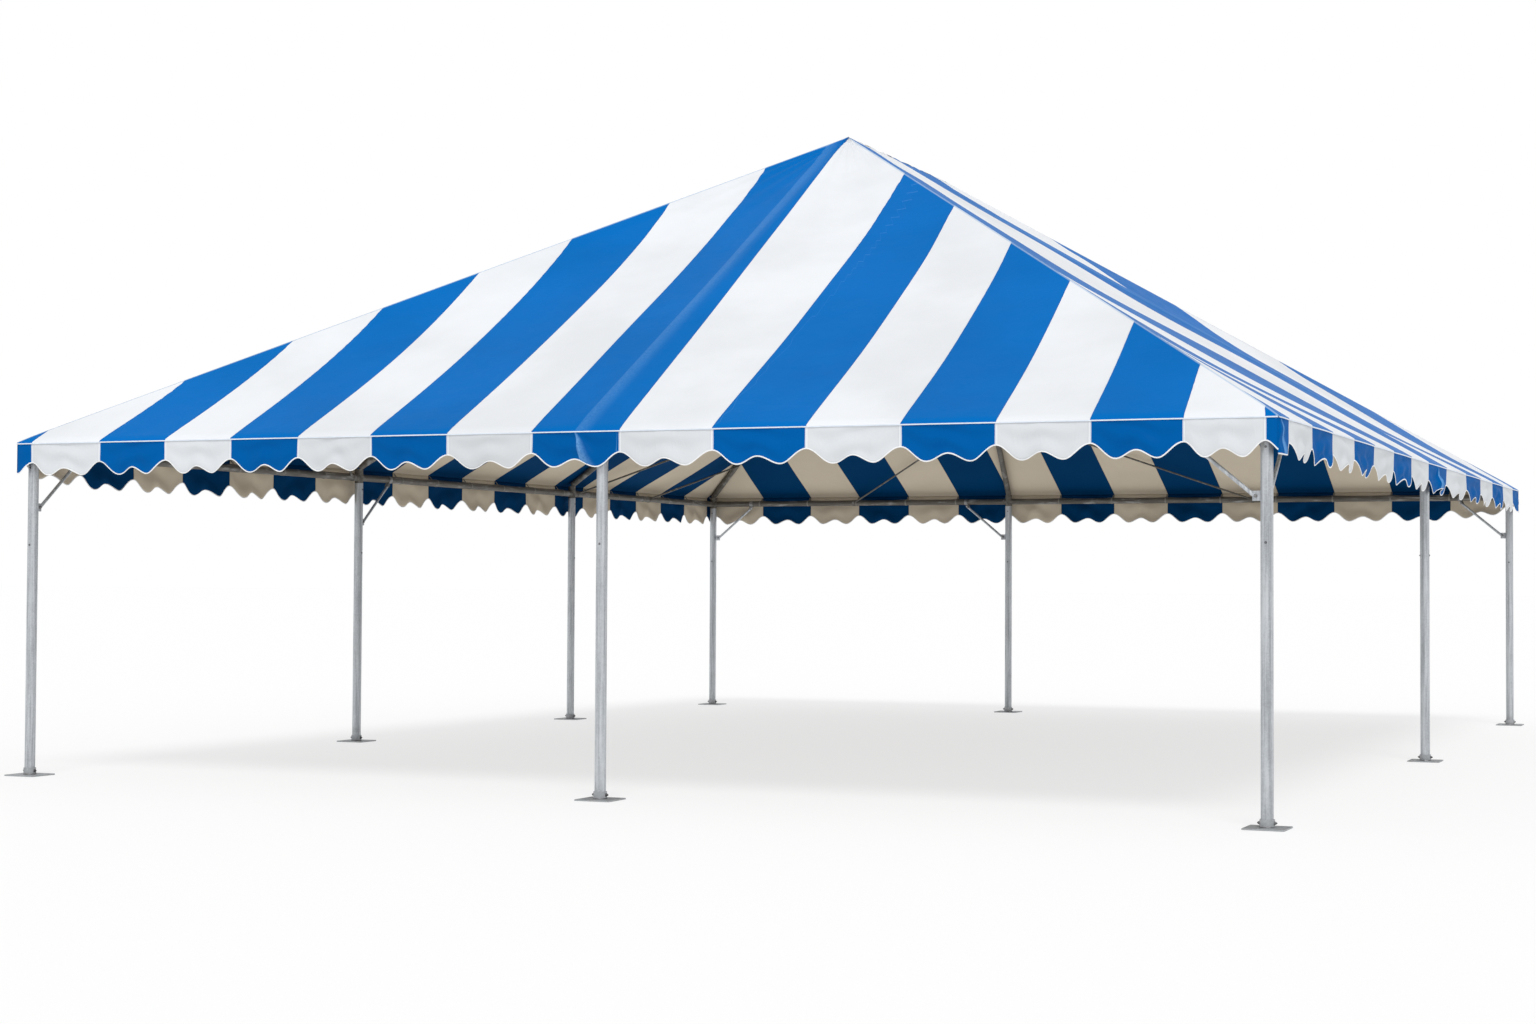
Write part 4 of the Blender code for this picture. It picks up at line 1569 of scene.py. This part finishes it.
@dataclass
class StayRods(Hardware):
    """Slim rods under the roof that brace each corner bay.

    Attributes:
        radius: Radius of a rod.
        hip_parts: How far up a hip rafter the rods of the long sides are clamped: the one from the middle
            of the rail, and the one from the next leg.
        middle_part: How far up a middle rafter the rods of the ends are clamped.
        rafter_radius: Radius of the rafters.
        clearance: Gap between the rafters and the cloth.
        hanger: How far below a rafter's middle line a rod ends.
        leg_gap: Distance from a leg to the foot of the rod beside it.
    """

    radius: float = 0.0095
    hip_parts: tuple[float, float] = (0.15, 0.31)
    middle_part: float = 0.33
    rafter_radius: float = 0.0302
    clearance: float = 0.006
    hanger: float = 0.036
    leg_gap: float = 0.11

    def build(self) -> list[bpy.types.Object]:
        """Make the rods of each side."""
        return [self.build_side(side) for side in Side]

    def rafter_point(self, side: Side, support: tuple[float, float], part: float) -> Vector:
        """A point on a rafter's centre line.

        Args:
            side: A side that the rafter borders.
            support: Its places along the fold and along the ridge.
            part: How far up it the point is.

        Returns:
            The point.
        """
        layout = self.layout
        rise = layout.ridge_height - layout.eave_height
        drop = (self.rafter_radius + self.clearance) * math.hypot(1, rise / layout.eave[0])
        along = support[0] * (1 - part) + support[1] * part
        out = layout.reach(side) - layout.run(side) * part
        place = along * side.along - out * side.inward
        return Vector((place[0], place[1], layout.eave_height + rise * part - drop))

    def build_side(self, side: Side) -> bpy.types.Object:
        """The rods of one side, with a clamp at each end."""
        shape = bmesh.new()
        supports = self.layout.supports(side)
        for corner, neighbour in ((supports[0], supports[1]), (supports[-1], supports[-2])):
            middle = (corner[0] + neighbour[0]) / 2
            if side.is_end:
                self._rod(shape, side, middle, neighbour, self.middle_part)
            else:
                self._rod(shape, side, middle, corner, self.hip_parts[0])
                beside = neighbour[0] + math.copysign(self.leg_gap, corner[0] - neighbour[0])
                self._rod(shape, side, beside, corner, self.hip_parts[1])
        return self.finish_piece(f"stay_rods_{side.label}", shape, RAFTER)

    def _rod(
        self, shape: bmesh.types.BMesh, side: Side, along: float, support: tuple[float, float], part: float
    ) -> None:
        """One rod from a rail up to a rafter."""
        foot, head = self.layout.rail_point(side, along), self.rafter_point(side, support, part)
        above = self.rafter_point(side, support, part + 0.01)
        prism(shape, foot, head - UP * self.hanger, self.radius, 14)
        ring(shape, foot, Vector(side.along), RAIL_RADIUS + 0.0004, 0.003, 0.030)
        ring(shape, head, above - head, self.rafter_radius + 0.0003, 0.0015, 0.034)


# ---- Studio --------------------------------------------------------------------------------------
@dataclass
class Studio:
    """The floor, the light and the camera round the tent.

    Attributes:
        eye: Where the camera stands.
        yaw: How far it is turned to the right of the way from front to back, in degrees.
        pitch: How far it is tipped up.
        roll: How far it is turned about its own line of sight.
        lens: Focal length in millimetres on a 36 mm wide sensor.
        floor_half: Half the floor's side.
        floor_tone: How much light the floor sends back.
        floor_glow: How much it gives out.
        zenith: Strength of the surround overhead; it's 1 near the horizon.
        sun: Strength of the sun.
        sun_angle: How wide the sun looks, in degrees.
        sun_way: The direction that it shines in.
    """

    eye: tuple[float, float, float] = (7.651, -20.876, 1.444)
    yaw: float = -23.12
    pitch: float = 1.64
    roll: float = 0.28
    lens: float = 58.27
    floor_half: float = 400.0
    floor_tone: float = 0.34
    floor_glow: float = 0.66
    zenith: float = 0.55
    sun: float = 1.35
    sun_angle: float = 22.0
    sun_way: tuple[float, float, float] = (-0.25, 0.55, -0.8)

    def build(self) -> None:
        """Make the floor, the light and the camera."""
        self.build_floor()
        self.build_light()
        self.build_camera()

    def build_floor(self) -> None:
        """A pale floor just under the base plates, lit from below like a light table."""
        half = self.floor_half
        mesh = bpy.data.meshes.new("studio_floor")
        corners = [(-half, -half, 0), (half, -half, 0), (half, half, 0), (-half, half, 0)]
        mesh.from_pydata(corners, [], [(0, 1, 2, 3)])
        material = bpy.data.materials.new("studio_floor")
        material.use_nodes = True
        shader = material.node_tree.nodes["Principled BSDF"]
        shader.inputs["Base Color"].default_value = (self.floor_tone,) * 3 + (1,)
        shader.inputs["Roughness"].default_value = 0.9
        shader.inputs["Specular IOR Level"].default_value = 0.0
        shader.inputs["Emission Color"].default_value = (1.0, 1.0, 1.0, 1)
        shader.inputs["Emission Strength"].default_value = self.floor_glow
        mesh.materials.append(material)
        floor = bpy.data.objects.new("studio_floor", mesh)
        floor.location.z = -0.0005
        bpy.context.scene.collection.objects.link(floor)

    def build_light(self) -> None:
        """A white surround that is dimmer overhead, with a soft sun high over the front."""
        world = bpy.data.worlds.new("studio_surround")
        world.use_nodes = True
        w = Wiring(world.node_tree)
        ahead = w.node("ShaderNodeTexCoord").outputs["Generated"]
        height = w.node("ShaderNodeSeparateXYZ", {0: ahead}).outputs["Z"]
        overhead = w.ramp(height, 0.30, 0.60)
        strength = w.maths("MULTIPLY_ADD", overhead, self.zenith - 1.0, 1.0)
        world.node_tree.nodes["Background"].inputs["Color"].default_value = (1.0, 1.0, 1.0, 1)
        w.tree.links.new(strength, world.node_tree.nodes["Background"].inputs["Strength"])
        bpy.context.scene.world = world
        lamp = bpy.data.lights.new("soft_sun", "SUN")
        lamp.energy = self.sun
        lamp.angle = math.radians(self.sun_angle)
        sun = bpy.data.objects.new("soft_sun", lamp)
        sun.rotation_mode = "QUATERNION"
        sun.rotation_quaternion = Vector(self.sun_way).to_track_quat("-Z", "Y")
        bpy.context.scene.collection.objects.link(sun)

    def build_camera(self) -> None:
        """A nearly level eye in front of the tent, to the right of its middle."""
        yaw, pitch, roll = (math.radians(angle) for angle in (self.yaw, self.pitch, self.roll))
        level = Vector((math.sin(yaw), math.cos(yaw), 0))
        right = Vector((math.cos(yaw), -math.sin(yaw), 0))
        ahead = level * math.cos(pitch) + Vector((0, 0, math.sin(pitch)))
        over = Vector((0, 0, math.cos(pitch))) - level * math.sin(pitch)
        tipped = right * math.cos(roll) + over * math.sin(roll)
        upright = over * math.cos(roll) - right * math.sin(roll)
        data = bpy.data.cameras.new("camera")
        data.lens = self.lens
        data.sensor_width = 36
        data.clip_end = 2000
        camera = bpy.data.objects.new("camera", data)
        axes = Matrix((tipped, upright, -ahead)).transposed().to_4x4()
        camera.matrix_world = Matrix.Translation(self.eye) @ axes
        bpy.context.scene.collection.objects.link(camera)
        bpy.context.scene.camera = camera
        bpy.context.scene.view_settings.view_transform = "Standard"


def main() -> None:
    """Build the whole visual model in order and report each piece."""
    logging.basicConfig(level=logging.INFO, format="%(message)s")
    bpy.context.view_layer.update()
    layout = Layout.from_frame()
    Studio().build()
    LOG.info("dressed %d frame nodes", FrameFinishes().dress())
    assemblies = (
        SewnTop(layout),
        FootBolts(layout),
        LegPins(layout),
        BraceClamps(layout),
        RailTies(layout),
        StayRods(layout),
    )
    for assembly in assemblies:
        for piece in assembly.build():
            LOG.info("%s: %s, %d points", type(assembly).__name__, piece.name, len(piece.data.vertices))


if __name__ == "__main__":
    main()
